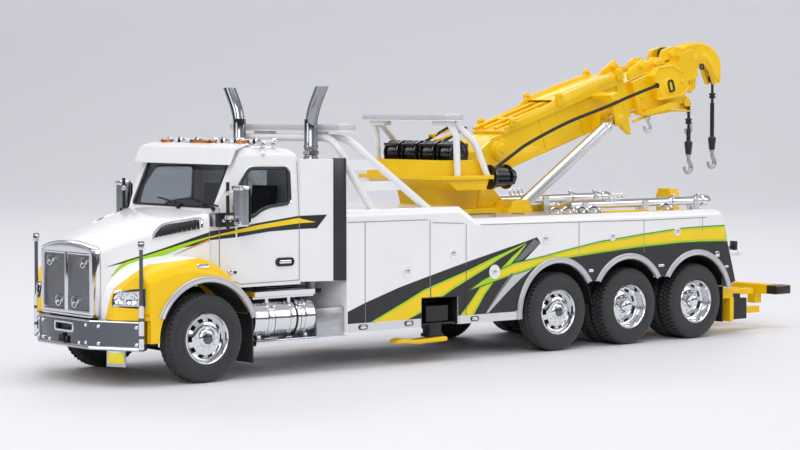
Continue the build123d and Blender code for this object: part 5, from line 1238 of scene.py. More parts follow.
class TOWTRUCK_OT_headlamps(BuildStep):
    """Headlamps: plated reflectors in dark bezels, with lenses and ribs; fender lamps and reflectors"""
    bl_idname = "tow_truck.headlamps"
    bl_label = "Headlamps"

    def make(self, paint, sizes):
        chrome, black, lens, orange = range(4)
        lamp = surface_of("headlamps", "front_fenders")
        origin, along, outward = (-21.6, 16.6), (0.6, 0.8), (-0.8, 0.6)
        form = Form()

        def spot(s, z, lift):
            return oblique(lamp, origin, along, outward, s, z, lift)

        # dark bezel round a plated reflector with two bowls, their lenses and bright ribs
        outline = [(0.4, 18.9), (3.4, 18.7), (6.6, 18.6), (8.2, 18.7), (8.1, 20.4), (7.7, 22.3), (6.4, 22.6),
            (4.2, 22.3), (2, 21.8), (0.5, 21.4)]
        path = smooth_path([spot(s, z, 0.06) for s, z in outline + [outline[0]]], 3)[:-1]
        form.pipe(path, 0.2, 8, black, closed=True)
        rows = []
        for k in range(9):
            s = 0.7 + 0.85 * k
            rows.append([spot(s, 19.1 + 0.5 * m, 0.03) for m in range(7)])
        form.skin(rows, chrome)
        for s, radius in ((2, 1.15), (5.2, 1.35)):
            hub = spot(s, 20.5, 0)
            form.lathe([(radius, -0.1), (radius + 0.12, 0.12), (radius, 0.3), (radius - 0.25, 0.22),
                (radius * 0.45, 0.02), (0, 0)], hub, (*outward, 0), 24, chrome)
            form.lathe([(radius * 0.5, 0.02), (radius * 0.42, 0.25), (radius * 0.2, 0.38), (0, 0.4)], hub,
                (*outward, 0), 18, lens)
        for z, rise in ((19, 0), (21.7, 0.06)):
            form.pipe([spot(0.6 + 0.7 * k, z + rise * k, 0.12) for k in range(11)], 0.24, 8, chrome)
        for s in (3.6, 6.9):
            form.pipe([spot(s, 19, 0.12), spot(s + 0.1, 20.4, 0.12), spot(s + 0.2, 21.8, 0.12)], 0.2, 8, chrome)
        # orange reflector on the corner and the plated lamp on the crest
        form.pipe([spot(7.4 + 0.4 * k, 16.85, 0.05) for k in range(6)], 0.26, 8, orange)
        turn = turned_at((-1, 23.6, 27.4), 28, "X")
        form.prism(round_outline((-2.7, 26.9), (0.9, 27.9), 0.45), 23.5, 24.15, 0.15, chrome, turn=turn)
        form.prism(round_outline((-2.2, 27.1), (0.4, 27.7), 0.28), 24, 24.35, 0.1, lens, turn=turn)
        form.mirrored().finish("headlamp_fittings", "truck", ["chrome", "black", "lens", "ink_orange"], "chrome_plate")


def arch_profile(form, x, radius, y, low_front, low_rear, width):
    """A ridged trim round a wheel arch: two rounded ribs with a groove between them."""
    start, end = [sign * degrees(acos((low - TYRE_R) / (radius + width / 2)))
        for sign, low in ((-1, low_front), (1, low_rear))]
    steps = 44
    angles = [start + (end - start) * k / steps for k in range(steps + 1)]
    profile = [(0, 0), (0, 0.42), (0.14, 0.56), (0.4, 0.58), (0.56, 0.42), (0.66, 0.34), (0.84, 0.34), (0.94, 0.42),
        (1.1, 0.58), (1.36, 0.56), (1.5, 0.42), (1.5, 0)]
    rows = []
    for angle in angles:
        way = Vector((sin(radians(angle)), 0, cos(radians(angle))))
        rows.append([Vector((x, y + out, TYRE_R)) + way * (radius + across * width / 1.5) for across, out in profile])
    form.skin(rows, 0)


class TOWTRUCK_OT_arch_trims(BuildStep):
    """Ridged bright trims round the wheel arches"""
    bl_idname = "tow_truck.arch_trims"
    bl_label = "Arch trims"

    def make(self, paint, sizes):
        form = Form()
        arch_profile(form, 0, 13.25, 24.4, 16, 14.8, 1.5)
        for x, front, rear in zip(ARCH_XS, (9.4, 18.1, 18.1), (18.1, 18.1, 14)):
            arch_profile(form, x, 13.05, BODY_Y, front, rear, 1.6)
        form.mirrored()
        form.finish("arch_trims", "truck", "silver_paint", "aluminium_trim", sharp=60)
        # dark liners inside the arches
        form = Form()
        for x, radius, near, far, reach in ((0, 13.15, 14.6, 24.2, 66), (ARCH_XS[0], 13, 11, 24.85, 84),
                (ARCH_XS[1], 13, 11, 24.85, 52), (ARCH_XS[2], 13, 11, 24.85, 52)):
            low = reach if x != ARCH_XS[2] else 72
            form.lathe([(radius, near), (radius, far), (radius - 0.15, far), (radius - 0.15, near)], (x, 0, TYRE_R),
                (0, 1, 0), 40, 0, arc=(-reach, low))
        form.mirrored().finish("arch_liners", "truck", "frame_black", "frame_paint")


# ---------------- roof, stacks, light bars, tanks
MOUTH_Z = 69.8             # height at which the stacks' mouths are cut


class TOWTRUCK_OT_roof(BuildStep):
    """Marker lamps and horns on the cab's roof"""
    bl_idname = "tow_truck.roof"
    bl_label = "Roof lamps and horns"

    def make(self, paint, sizes):
        chrome, amber, black = range(3)
        form = Form()
        for y, wide in ((-16.7, 1.8), (0, 4.7), (16, 1.4)):
            form.blocks((14.3, y - wide, ROOF_Z + 0.1, 17.4, y + wide, ROOF_Z + 0.75, 0.25, chrome),
                (14.5, y - wide + 0.25, ROOF_Z + 0.6, 17, y + wide - 0.25, ROOF_Z + 1.5, 0.4, amber))
        for y in (-19, -11.2, -5.6, 5.6, 13):
            z = ROOF_Z + 1.15
            form.lathe([(0.62, -0.2), (1.02, 0), (1.05, 0.15), (0.85, 0.55), (0.62, 1.2), (0.46, 2.2), (0.42, 5),
                (0.62, 5.2), (0.78, 5.6), (0.78, 6.4), (0.5, 6.8), (0, 6.9)], (17.7, y, z), (1, 0, 0), 20, chrome)
            form.lathe([(0, 0.5), (0.62, -0.15)], (17.7, y, z), (1, 0, 0), 16, black)
            form.blocks((19.6, y - 0.5, ROOF_Z - 0.3, 20.5, y + 0.5, z, 0.15, chrome),
                (22.8, y - 0.5, ROOF_Z - 0.3, 23.6, y + 0.5, z, 0.15, chrome))
        # a shorter horn by the roof's edge, and the small lamps low on the roof's sides
        z = ROOF_Z + 1
        form.lathe([(1, 0), (1.05, 0.2), (0.6, 1), (0.42, 2.2), (0.42, 4.4), (0.7, 4.7), (0.7, 5.4), (0, 5.7)],
            (18.4, 19, z), (1, 0, 0), 20, chrome)
        form.block((20.5, 18.4, ROOF_Z - 0.9), (21.4, 19.6, z), 0.15, chrome)
        for y in (-20.2, 20.2):
            side = 1 if y > 0 else -1
            form.lathe([(0.5, 0), (0.95, 0.3), (1, 0.7), (0.7, 1.1), (0, 1.2)], (20.1, y - side * 0.8, 53.6),
                (-1, 0, 0), 18, chrome)
            form.rod((19.7, y - side * 1.9, 53), (19.7, y - side * 0.7, 53.6), 0.35, 10, 0.1, chrome)
        form.finish("roof_lamps", "truck", ["chrome", "amber", "black"], "chrome_plate", "roof_fittings")


class TOWTRUCK_OT_stacks(BuildStep):
    """Exhaust stacks cut level at the mouth, with a sleeve, grooved rings and a dark can below"""
    bl_idname = "tow_truck.stacks"
    bl_label = "Exhaust stacks"

    def make(self, paint, sizes):
        x, y = 37.6, 15.1
        form = Form()
        route = bent_path([(x, y, 47.5), (x, y, 62.6), (x, y + 6.2, 72.5)], 4, 10)
        around = 28
        part = bmesh.new()
        shell = []
        for radius in (1.55, 1.3):
            rings = []
            for i, point in enumerate(route):
                way = (route[min(i + 1, len(route) - 1)] - route[max(i - 1, 0)]).normalized()
                other = way.cross(Vector((1, 0, 0))).normalized()
                ring = []
                for k in range(around):
                    a = 2 * pi * k / around
                    spot = point + Vector((1, 0, 0)) * cos(a) * radius + other * sin(a) * radius
                    # the mouth is cut level, so it shows as an oval
                    if spot.z > MOUTH_Z:
                        spot = spot - way * ((spot.z - MOUTH_Z) / way.z)
                    ring.append(part.verts.new(spot))
                rings.append(ring)
            shell.append(rings)
        outer, inner = shell
        web(part, outer)
        web(part, inner)
        web(part, [outer[-1], inner[-1]])
        bmesh.ops.remove_doubles(part, verts=part.verts, dist=0.001)
        form.take(part, slot=0)
        form.lathe([(1.5, 0), (1.85, 0.2), (1.85, 0.8), (1.62, 1), (1.62, 1.3), (1.95, 1.5), (1.95, 2.3), (1.62, 2.5),
            (1.62, 2.8), (1.8, 3), (1.8, 3.7), (1.66, 3.9), (1.66, 10.2), (1.5, 10.3)], (x, y, 51.6), (0, 0, 1), 28, 0)
        form.lathe([(0, 0), (1.5, 0), (1.5, 5.8), (2.3, 6.4), (2.3, 26.8), (2.1, 27.6), (1.5, 28.2)], (x, y, 20),
            (0, 0, 1), 28, 1)
        form.mirrored().finish("exhaust_plated", "truck", ["reflection_dimmed_chrome", "aluminium_dull"], "chrome_plate",
            "exhaust_stacks", sharp=50)


class TOWTRUCK_OT_light_bars(BuildStep):
    """Frosted light bars on the hoop and on the arch"""
    bl_idname = "tow_truck.light_bars"
    bl_label = "Light bars"

    def make(self, paint, sizes):
        frost, white, silver = range(3)
        # columns: name, body, node, ends in x and z, half length, corner, place of the feet in y and their underside
        for name, body, node, x0, x1, z0, z1, half, corner, foot, low in (
                ("pylon_lamp", "truck", "pylon_light_bar", 40.1, 45.3, 58.7, 60.6, 24.7, 2.2, 11, 57.3),
                ("arch_lamp", "turret", "arch_light_bar", 79.4, 85.6, 61.2, 63, 19, 2.6, 13, 60)):
            form = Form()
            # a thin base with a round-ended cover on it
            seam = z0 + 0.35
            for near, far, grow, slot, edge in ((z0, seam, 0, white, 0.1), (seam, z1, -0.12, frost, 0.3)):
                outline = round_outline((-half + grow, x0 - grow), (half + grow, x1 + grow), corner, 8)
                form.prism([(x, y) for y, x in outline], near, far, edge, slot, axis="z")
            # reflectors seen through the cover, and the feet below
            count = 11
            for k in range(count):
                y = (k - (count - 1) / 2) * (2 * half - 4) / count
                form.block((x0 + 0.9, y - 1.5, z0 + 0.36), (x1 - 0.9, y + 1.5, z1 - 0.75), 0.15, silver)
            x = (x0 + x1) / 2
            for side in (-1, 1):
                form.block((x - 1.2, side * foot - 3.2, low), (x + 1.2, side * foot + 3.2, z0), 0.15, white)
            form.finish(name, body, ["lamp_frost", "white", "silver_paint"], "lens_clear", node)


class TOWTRUCK_OT_tanks(BuildStep):
    """Fuel tanks with straps, tread steps, and the tool box behind them"""
    bl_idname = "tow_truck.tanks"
    bl_label = "Tanks and steps"

    def make(self, paint, sizes):
        chrome, black, dull = range(3)
        form = Form()
        y0, z0, radius = 19.1, 13.8, 4.9
        for x in (19.4, 27.2):
            for off in (-0.62, 0.62):
                form.lathe([(radius + 0.02, off - 0.14), (radius + 0.16, off - 0.1), (radius + 0.16, off + 0.1),
                    (radius + 0.02, off + 0.14)], (x, y0, z0), (1, 0, 0), 60, black, arc=(-150, 40))
            form.lathe([(radius + 0.02, -0.45), (radius + 0.3, -0.42), (radius + 0.3, 0.42), (radius + 0.02, 0.45)],
                (x, y0, z0), (1, 0, 0), 60, chrome, arc=(-150, 40))
            form.block((x - 0.7, y0 + 4.3, z0 + 2.2), (x + 0.7, y0 + 5, z0 + 3.4), 0.2, chrome)
        # step plates with bars across, upper and lower
        for z, out in ((19.3, 22.8), (8.7, 24.2)):
            for k in range(24):
                x = 14.6 + 0.75 * k
                form.block((x, out - 3.2, z), (x + 0.35, out, z + 0.26), 0.06, dull)
            form.block((14.2, out - 0.25, z - 0.5), (32.4, out + 0.12, z + 0.3), 0.12, chrome)
        form.block((32.4, 22, 8.6), (40.9, 24.12, 15.75), 0.25, 3)
        form.mirrored().finish("tank_fittings", "truck", ["chrome", "black", "aluminium_dull", "aluminium"],
            "chrome_plate")


# ---------------- turret, winches and boom
WINCH_X, WINCH_Z = 87.4, 52.7
FOOT_X, FOOT_Z = 110.3, 37.5    # pin at the foot of the lift cylinders
GUIDE_END_X = 98.6              # the rods over the winches end short of the rising boom


def wound_drum(form, centre, half, core, flange, turns, axis=(0, 1, 0), pile=0.25):
    """A winch drum between two flanges, with the rope's turns showing as ridges."""
    rope = 0.32
    profile = [(0, -half), (flange - 0.15, -half), (flange, -half + 0.15), (flange, -half + 0.4),
        (flange - 0.15, -half + 0.5), (core, -half + 0.55)]
    run = 2 * (half - 0.55)
    for k in range(turns * 6 + 1):
        share = k / (turns * 6)
        swell = abs(sin(pi * share * turns))
        profile.append((core + rope * swell + pile * sin(pi * share), -half + 0.55 + run * share))
    profile += [(core, half - 0.55), (flange - 0.15, half - 0.5), (flange, half - 0.4), (flange, half - 0.15),
        (flange - 0.15, half), (0, half)]
    form.lathe(profile, centre, axis, 32, 0)


class TOWTRUCK_OT_winches(BuildStep):
    """Four wound winches in their tray, side winches and their frames"""
    bl_idname = "tow_truck.winches"
    bl_label = "Winches"

    def make(self, paint, sizes):
        form = Form()
        for y in (-11, -3.7, 3.7, 11):
            wound_drum(form, (WINCH_X, y, WINCH_Z), 2.75, 2.2, 3.3, 7, pile=0.75)
            for end in (-2.95, 2.65):
                form.prism([(WINCH_X - 3.2, 48), (WINCH_X + 3.4, 48), (WINCH_X + 2.4, 53.6), (WINCH_X + 0.8, 55.2),
                    (WINCH_X - 1.2, 55.2), (WINCH_X - 2.6, 53.4)], y + end, y + end + 0.3, 0.08, 0)
            form.rod((WINCH_X - 3, y - 2.6, 54.9), (WINCH_X - 3, y + 2.6, 54.9), 0.4, 10, 0.1, 0)
            form.lathe([(0, -0.25), (1.2, -0.25), (1.3, 0), (0.9, 0.35), (0, 0.4)], (WINCH_X, y - 2.95, WINCH_Z),
                (0, -1, 0), 16, 0)
            form.block((WINCH_X + 2, y - 1.4, 54), (WINCH_X + 4.4, y + 1.4, 55.4), 0.3, 0)
        form.block((WINCH_X - 4, -14, 47.9), (WINCH_X + 4, 14, 49), 0.15, 0)
        for y in (-3.7, 3.7):
            form.rod((WINCH_X + 1, y, WINCH_Z + 2), (GUIDE_END_X, y, 59.4), 0.4, 10, 0.1, 1)
        form.finish("winch_drums", "turret", ["black_gloss", "black_line"], "dark_plastic", "winches")
        form = Form()
        y, z = 15, 46.4
        wound_drum(form, (99.8, y, z), 3.1, 2.1, 3.3, 8, (1, 0, 0))
        form.lathe([(1.2, 0), (1.35, 0.15), (1.35, 1), (2, 1.1), (2.05, 1.9), (1.4, 2.1), (1.3, 2.6), (0.6, 2.7),
            (0, 2.7)], (102.9, y, z), (1, 0, 0), 20, 0)
        form.block((96.2, 12.2, 45), (97.2, 17.4, 47.6), 0.2, 0)
        form.rod((96.5, y + 2.8, z - 1.6), (103.2, y + 2.8, z - 1.6), 0.42, 10, 0.1, 0)
        form.mirrored().finish("side_winch_drums", "turret", ["black_gloss"], "dark_plastic", "side_winches")
        # fittings of the turret: tray lip, gussets, pin ends and the two guide rods over the winches
        form = Form()
        form.blocks((78.5, -17.6, 45.9, 96.3, -16.9, 47, 0.2, 0), (78.5, 16.9, 45.9, 96.3, 17.6, 47, 0.2, 0),
            (78.4, -17.5, 45.9, 79.1, 17.5, 47, 0.2, 0))
        for side in (-1, 1):
            form.lathe([(0, 0), (1.15, 0), (1.15, 0.2), (0.85, 0.28), (0, 0.28)], (FOOT_X, side * 14.6, FOOT_Z),
                (0, side, 0), 20, 0)
            form.lathe([(0, 0), (2.2, 0), (2.3, 0.15), (2, 0.4), (1.2, 0.5), (0, 0.5)], (HINGE_X, side * 8.4, HINGE_Z),
                (0, side, 0), 28, 0)
            form.lathe([(0, 0), (0.7, 0), (0.5, 0.35), (0, 0.4)], (HINGE_X, side * 8.9, HINGE_Z), (0, side, 0), 6, 0)
            form.prism([(98.5, 38), (103.8, 38), (101, 43.2), (99.3, 43.2)], side * 8 - 0.25, side * 8 + 0.25, 0.1)
        form.pipe([(88.6, -3.7, 56), (92, -3.7, 57.1), (GUIDE_END_X, -3.7, 58.6)], 0.36, 8, 0)
        form.pipe([(92.8, 3.7, 57.2), (GUIDE_END_X, 3.7, 58.6)], 0.36, 8, 0)
        for x, z in ((88.6, 56), (92.8, 57.2)):
            form.rod((x, -4.6 if x < 90 else 2.8, z), (x, -2.8 if x < 90 else 4.6, z), 0.6, 12, 0.1, 0)
        form.finish("turret_fittings", "turret", ["yellow", "black"], "yellow_paint")


class TOWTRUCK_OT_cylinders(BuildStep):
    """Polished lift cylinders and the black line along the boom's near side"""
    bl_idname = "tow_truck.cylinders"
    bl_label = "Cylinders and side line"

    def make(self, paint, sizes):
        foot, eye = Vector((FOOT_X, 11.5, FOOT_Z)), Vector((146.47, 11.5, 61.53))
        way = (eye - foot).normalized()
        form = Form()
        form.lathe([(0, 0.8), (1.3, 0.8), (1.5, 1.2), (1.7, 1.7), (1.7, 38.6), (1.86, 38.8), (1.86, 40), (1.7, 40.3),
            (1.22, 40.4), (1.22, 30)], foot, way, 36, 0)
        form.lathe([(0.77, -1.8), (1.45, -1.8), (1.55, -1.6), (1.55, 1.6), (1.45, 1.8), (0.77, 1.8)], foot, (0, 1, 0),
            28, 0, closed=True)
        form.mirrored().finish("cylinder_barrels", "lift_barrels", "cylinder_steel", "steel_rod", "lift_barrels")
        form = Form()
        path = smooth_path([(99.6, -14.5, 48.8), (105.6, -14.5, 52.2), (111.8, -14.5, 55.4), (125.7, -14.5, 60.7),
            (139.9, -14.5, 64.8), (151.7, -12.5, 67.9), (165.6, -9.2, 71)], 6)
        form.pipe(path, 0.46, 12, 0)
        form.lathe([(0.4, 0), (0.75, 0.1), (0.75, 0.5), (0.4, 0.6)], (165.6, -9.2, 71), (0.93, 0.22, 0.22), 14, 0)
        form.finish("side_line_waxed", "boom_main", "black_line", "line_steel", "side_line")


class TOWTRUCK_OT_boom(BuildStep):
    """Plates, rods, sheaves and brackets of the three-part boom"""
    bl_idname = "tow_truck.boom"
    bl_label = "Boom fittings"

    def make(self, paint, sizes):
        yellow, black = range(2)
        # on the main box: raised side plates, ears, seams and the pin ends
        form = Form(ALONG_BOOM)
        rail = [(5, 4.2), (5, 5), (10, 5.5), (22, 5.9), (25.4, 7.2), (40, 7.1), (51.6, 6.6), (51.6, 4.2)]
        form.prism(rail, 5.8, 6.35, 0.15, yellow)
        for u, w in ((8, 6.8), (26.4, 8.3), (50.6, 7.9)):
            form.prism([(u - 1.4, 4.6), (u + 1.4, 4.6), (u + 1.1, w - 0.6), (u + 0.3, w), (u - 0.9, w - 0.2)], 6.2,
                6.95, 0.15, yellow)
            form.rod((u, 5.4, w - 0.9), (u, 7.4, w - 0.9), 0.42, 10, 0.1, yellow)
        form.prism([(26, 6.4), (51, 5.9), (51, 5.6), (26, 6.1)], 0, 5.9, 0.08, yellow)
        form.block((-2.5, 5.58, -5.9), (50, 5.72, -5.4), 0.05, yellow)
        form.prism([(2, -6.2), (20, -6.2), (13, -2.6), (5, -2)], 5.58, 5.9, 0.1, yellow)
        for u in (18, 33):
            form.block((u, 5.58, -6.2), (u + 0.5, 5.85, 3.6), 0.08, yellow)
        form.lathe([(0, 0), (1.5, 0), (1.55, 0.2), (1.1, 0.5), (0, 0.5)], (40.2, 13.75, -3.8), (0, 1, 0), 22, yellow)
        form.lathe([(0, 0), (2.9, 0), (3, 0.2), (2.7, 0.5), (1.6, 0.62), (0, 0.62)], (3, 5.6, -0.6), (0, 1, 0), 30,
            yellow)
        form.lathe([(0, 0), (0.9, 0), (0.9, 0.25), (0, 0.3)], (3, 6.2, -0.6), (0, 1, 0), 16, yellow)
        form.mirrored().finish("boom_main_fittings", "boom_main", ["yellow", "black", "silver_paint"], "yellow_paint")
        # on the second box: plates, oval keeper, sheave ends, small hooks below
        form = Form(ALONG_BOOM)
        ring = loop_path([(66.3, 9.1, -4), (68.1, 9.1, -4), (68.1, 9.1, -0.9), (66.3, 9.1, -0.9)], 0.85, 6)
        form.pipe(ring, 0.3, 8, black, closed=True)
        form.lathe([(0, 0), (2.5, 0), (2.6, 0.15), (2.3, 0.45), (0, 0.5)], (67.2, 8.5, -2.45), (0, 1, 0), 30, yellow)
        form.prism([(61.6, 2), (64.2, 4.3), (69.8, 3.3), (73.9, -0.2), (73.4, -0.6), (69.6, 2.6), (64.3, 3.6),
            (62.2, 1.8)], 8.3, 8.95, 0.1, yellow)
        form.prism([(61.2, -4.9), (71, -6.7), (75.2, -5.2), (75, -4.6), (71, -6), (61.2, -4.3)], 8.3, 8.95, 0.1, yellow)
        for u, w, radius in ((57.6, -2, 1.2), (57.4, -6, 0.7), (63, -3.2, 0.55), (72.4, -2.6, 0.6), (74.6, -9.6, 1.3)):
            out = 8.6 if 61.6 < u < 73 else 6.4
            form.lathe([(0, 0), (radius, 0), (radius, 0.3), (radius - 0.25, 0.5), (0, 0.5)], (u, out - 0.05, w),
                (0, 1, 0), 20, yellow)
        form.prism([(54.4, 4.9), (55.4, 6), (58.6, 6.6), (61.2, 7.4), (62.2, 6), (62.6, 3.4), (54.4, 3.2)], 5.2, 6,
            0.15, yellow)
        form.rod((59.9, 4.4, 5.8), (59.9, 7.2, 5.8), 0.7, 14, 0.15, yellow)
        form.prism([(64, 3.6), (65, 5.4), (67.4, 6.2), (70.4, 5.2), (72.2, 2.8)], 3.4, 4.2, 0.15, yellow)
        form.rod((67.6, 0, 4.2), (67.6, 5, 4.2), 0.8, 14, 0.15, yellow)
        form.prism([(52.6, -8.2), (60, -8.4), (67.5, -9.6), (75.6, -12.3), (75, -12.6), (67, -10.3), (60, -9),
            (52.6, -8.8)], 5.4, 6.6, 0.12, yellow)
        form.mirrored()
        form.finish("boom_mid_fittings", "boom_mid", ["yellow", "black", "silver_paint"], "yellow_paint")
        form = Form()
        small_hook(form, (164.5, -7, 62.6), 4.6)
        small_hook(form, (185.1, -3.4, 64.4), 7.2)
        form.finish("boom_small_hooks", "boom_mid", ["silver_paint"], "steel_rod")
        # on the tip: grooved sheaves, pins and a stiffener round the neck
        form = Form(ALONG_BOOM)
        for u, w, radius in ((76, 4.6, 1.9), (88, 0.4, 2.6), (93.6, -8.4, 1)):
            form.lathe([(0, -0.8), (radius, -0.8), (radius, -0.55), (radius - 0.5, -0.25), (radius - 0.5, 0.25),
                (radius, 0.55), (radius, 0.8), (0, 0.8)], (u, 0, w), (0, 1, 0), 28, black)
            for side in (-1, 1):
                reach = 3.4 if u < 80 else 2.2
                form.lathe([(0, 0), (radius * 0.45, 0), (radius * 0.45, 0.3), (0, 0.4)], (u, side * reach, w),
                    (0, side, 0), 18, yellow)
        neck = [(80.2, 2), (82.6, 4), (86, 4.2), (90, 3.2), (93.7, 0.9), (95.6, -2.4), (95.8, -5.6)]
        for y in (-1.55, 1.55):
            form.pipe(smooth_path([(u, y, w) for u, w in neck], 4), 0.62, 8, yellow)
        form.pipe(smooth_path([(u, 0, w - 0.2) for u, w in neck], 4), 0.9, 8, yellow)
        for y in (-2.3, 2.3):
            side = 1 if y > 0 else -1
            form.lathe([(0.55, 0), (0.95, 0.05), (0.95, 0.3), (0.55, 0.35)], (87.9, y, -2.9), (0, side, 0), 18, black,
                closed=True)
            form.prism([(81.5, -7), (84, -3), (87, -0.8), (90.5, -1.8), (92, -4.6), (92.4, -8), (93.6, -8.2),
                (93.6, -3.2), (91, 0.6), (86, 1.6), (82, 0.6)], y - 0.15, y + 0.15, 0.08, yellow)
        form.finish("boom_tip_fittings", "boom_tip", ["yellow", "black"], "yellow_paint")


def small_hook(form, top, drop):
    """An open hook on a short shackle."""
    x, y, z = top
    form.pipe(loop_path([(x - 0.6, y, z), (x + 0.6, y, z), (x + 0.6, y, z - 1.5), (x - 0.6, y, z - 1.5)], 0.5, 4), 0.26,
        8, 0, closed=True)
    low = z - drop
    path = smooth_path([(x, y, z - 1.3), (x + 0.1, y, z - 2), (x + 0.9, y, low + 1.6), (x + 0.6, y, low + 0.4),
        (x - 0.4, y, low), (x - 1.3, y, low + 0.6), (x - 1.4, y, low + 1.5)], 5)
    form.pipe(path, [0.34 + 0.16 * sin(pi * k / (len(path) - 1)) for k in range(len(path))], 10, 0)


# ---------------- hooks, deck and tail
def line_hook(form, x, top, y, length):
    """A hanging line: black clamp, ribbed sleeve and socket, then a forged silver hook."""
    low = top - length
    ring = [(x + 0.72 * cos(radians(a)), y, top + 0.72 * sin(radians(a))) for a in range(0, 360, 24)]
    form.pipe(ring, 0.24, 8, 0, closed=True)
    form.rod((x, y, top - 0.7), (x, y, low + 8.4), 0.42, 12, 0.05, 0)
    form.lathe([(0.4, 0), (0.95, 0.15), (1, 0.6), (0.7, 0.75), (0.7, 0.95), (1, 1.1), (0.95, 1.6), (0.4, 1.75)],
        (x, y, top - 5.6), (0, 0, 1), 16, 0)
    sleeve = [(0.42, 0)]
    run = max(1, length - 16)
    for k in range(int(run / 0.5)):
        sleeve += [(0.66, 0.5 * k + 0.1), (0.6, 0.5 * k + 0.36)]
    form.lathe(sleeve + [(0.42, run)], (x, y, low + 9.2), (0, 0, 1), 14, 0)
    form.lathe([(0, 0), (0.75, 0), (0.9, 0.4), (1, 1.6), (1.15, 2.6), (1.2, 3.5), (0.9, 3.9), (0.5, 4)],
        (x, y, low + 5.2), (0, 0, 1), 18, 0)
    form.lathe([(0, 0), (0.6, 0.05), (0.72, 0.6), (0.7, 1.2), (0, 1.3)], (x, y, low + 4.4), (0, 0, 1), 16, 1)
    path = smooth_path([(x, y, low + 4.6), (x + 0.15, y, low + 3.4), (x + 0.95, y, low + 2), (x + 1, y, low + 0.9),
        (x + 0.2, y, low + 0.15), (x - 0.9, y, low + 0.2), (x - 1.6, y, low + 0.95), (x - 1.65, y, low + 1.7)], 6)
    count = len(path) - 1
    form.pipe(path, [0.42 + 0.28 * sin(pi * min(1, k / count * 1.15)) for k in range(count + 1)], 12, 1)


class TOWTRUCK_OT_hooks(BuildStep):
    """The two hanging lines with their hooks"""
    bl_idname = "tow_truck.hooks"
    bl_label = "Lines and hooks"

    def make(self, paint, sizes):
        turn = radians(BOOM_ANGLE)
        for node, body, u, w, y, length in (("hook_near", "hook_near", 75.7, -10.8, -5.9, 19.6),
                ("hook_far", "hook_far", 93.6, -8.6, 0, 26)):
            form = Form()
            x, z = HINGE_X + u * cos(turn) - w * sin(turn), HINGE_Z + u * sin(turn) + w * cos(turn)
            line_hook(form, x, z, y, length)
            form.finish(node + "_forged", body, ["black", "hook_silver"], "steel_rod", node)


class TOWTRUCK_OT_deck(BuildStep):
    """Chain claws, straps and clamps along the deck tubes"""
    bl_idname = "tow_truck.deck"
    bl_label = "Deck fittings"

    def make(self, paint, sizes):
        deck, tube_z, y = 34.8, 38.5, 20
        chrome, yellow, black = range(3)
        form = Form()
        for x in (170.5, 160.5):
            form.lathe([(1.28, -0.6), (1.6, -0.5), (1.6, 0.5), (1.28, 0.6)], (x, y, tube_z), (1, 0, 0), 24, chrome)
            form.block((x - 0.5, y + 0.4, tube_z + 1.2), (x + 0.5, y + 1.3, tube_z + 2.1), 0.2, chrome)
        form.lathe([(0, 0), (1.5, 0.1), (1.62, 0.5), (1.62, 2.6), (1.3, 3)], (175.2, y, tube_z), (-1, 0, 0), 24, chrome)
        form.lathe([(0, 0), (0.8, 0), (0.8, 0.3), (0, 0.3)], (175.2, y, tube_z), (1, 0, 0), 16, black)
        # claws and shackles lying under the front of the tube
        for x in (114.5, 119, 124, 128.5, 156.5):
            form.pipe(loop_path([(x - 1.4, y + 1.2, deck + 1.3), (x + 1, y + 1.8, deck + 1),
                (x + 1.4, y + 1.6, deck + 2.9), (x - 1, y + 1.3, deck + 3.1)], 0.8, 4), 0.4, 8, chrome, closed=True)
            form.pipe(smooth_path([(x + 0.6, y + 1.4, deck + 2.2), (x + 1.8, y + 1.9, deck + 2.6),
                (x + 2.8, y + 1.7, deck + 1.6), (x + 2.4, y + 1.3, deck + 0.6), (x + 1.4, y + 1.2, deck + 0.7)], 4),
                0.36, 8, chrome)
        for x in (137, 138.6, 140.2):
            form.pipe(loop_path([(x - 0.9, y - 0.2, tube_z + 1.3), (x + 0.9, y - 0.2, tube_z + 1.3),
                (x + 0.9, y + 0.6, tube_z + 2.7), (x - 0.9, y + 0.6, tube_z + 2.7)], 0.5, 4), 0.24, 8, chrome,
                closed=True)
        for x0, x1, z in ((121, 133, deck + 1.3), (133, 150, deck + 1.9), (150, 165, deck + 1.5)):
            form.block((x0, y + 0.7, deck), (x1, y + 1.7, z), 0.25, yellow)
        form.mirrored().finish("deck_fittings", "truck", ["chrome", "yellow", "black"], "chrome_plate")


class TOWTRUCK_OT_outriggers(BuildStep):
    """Jack legs with their yellow feet"""
    bl_idname = "tow_truck.outriggers"
    bl_label = "Outrigger legs"

    def make(self, paint, sizes):
        for name, side in (("outrigger_leg_right", 1), ("outrigger_leg_left", -1)):
            form = Form()
            low, high = sorted((side * 20.5, side * 23.3))
            form.blocks((69.1, low, 6.3, 73.1, high, 14.3, 0.2, 0),
                (68.6, low - 0.2, 6.4, 73.6, high + 0.2, 7.3, 0.2, 0))
            low, high = sorted((side * 20.9, side * 24.5))
            form.prism([(57.4, 5.5), (57.9, 6.3), (59.6, 6.7), (64, 6.1), (73.9, 6.45), (74.5, 5.9), (74.1, 5.2),
                (64.6, 5), (61, 5.4)], low, high, 0.35, 1, steps=3)
            form.finish(name + "_jack", name, ["black", "yellow"], "yellow_paint", name)


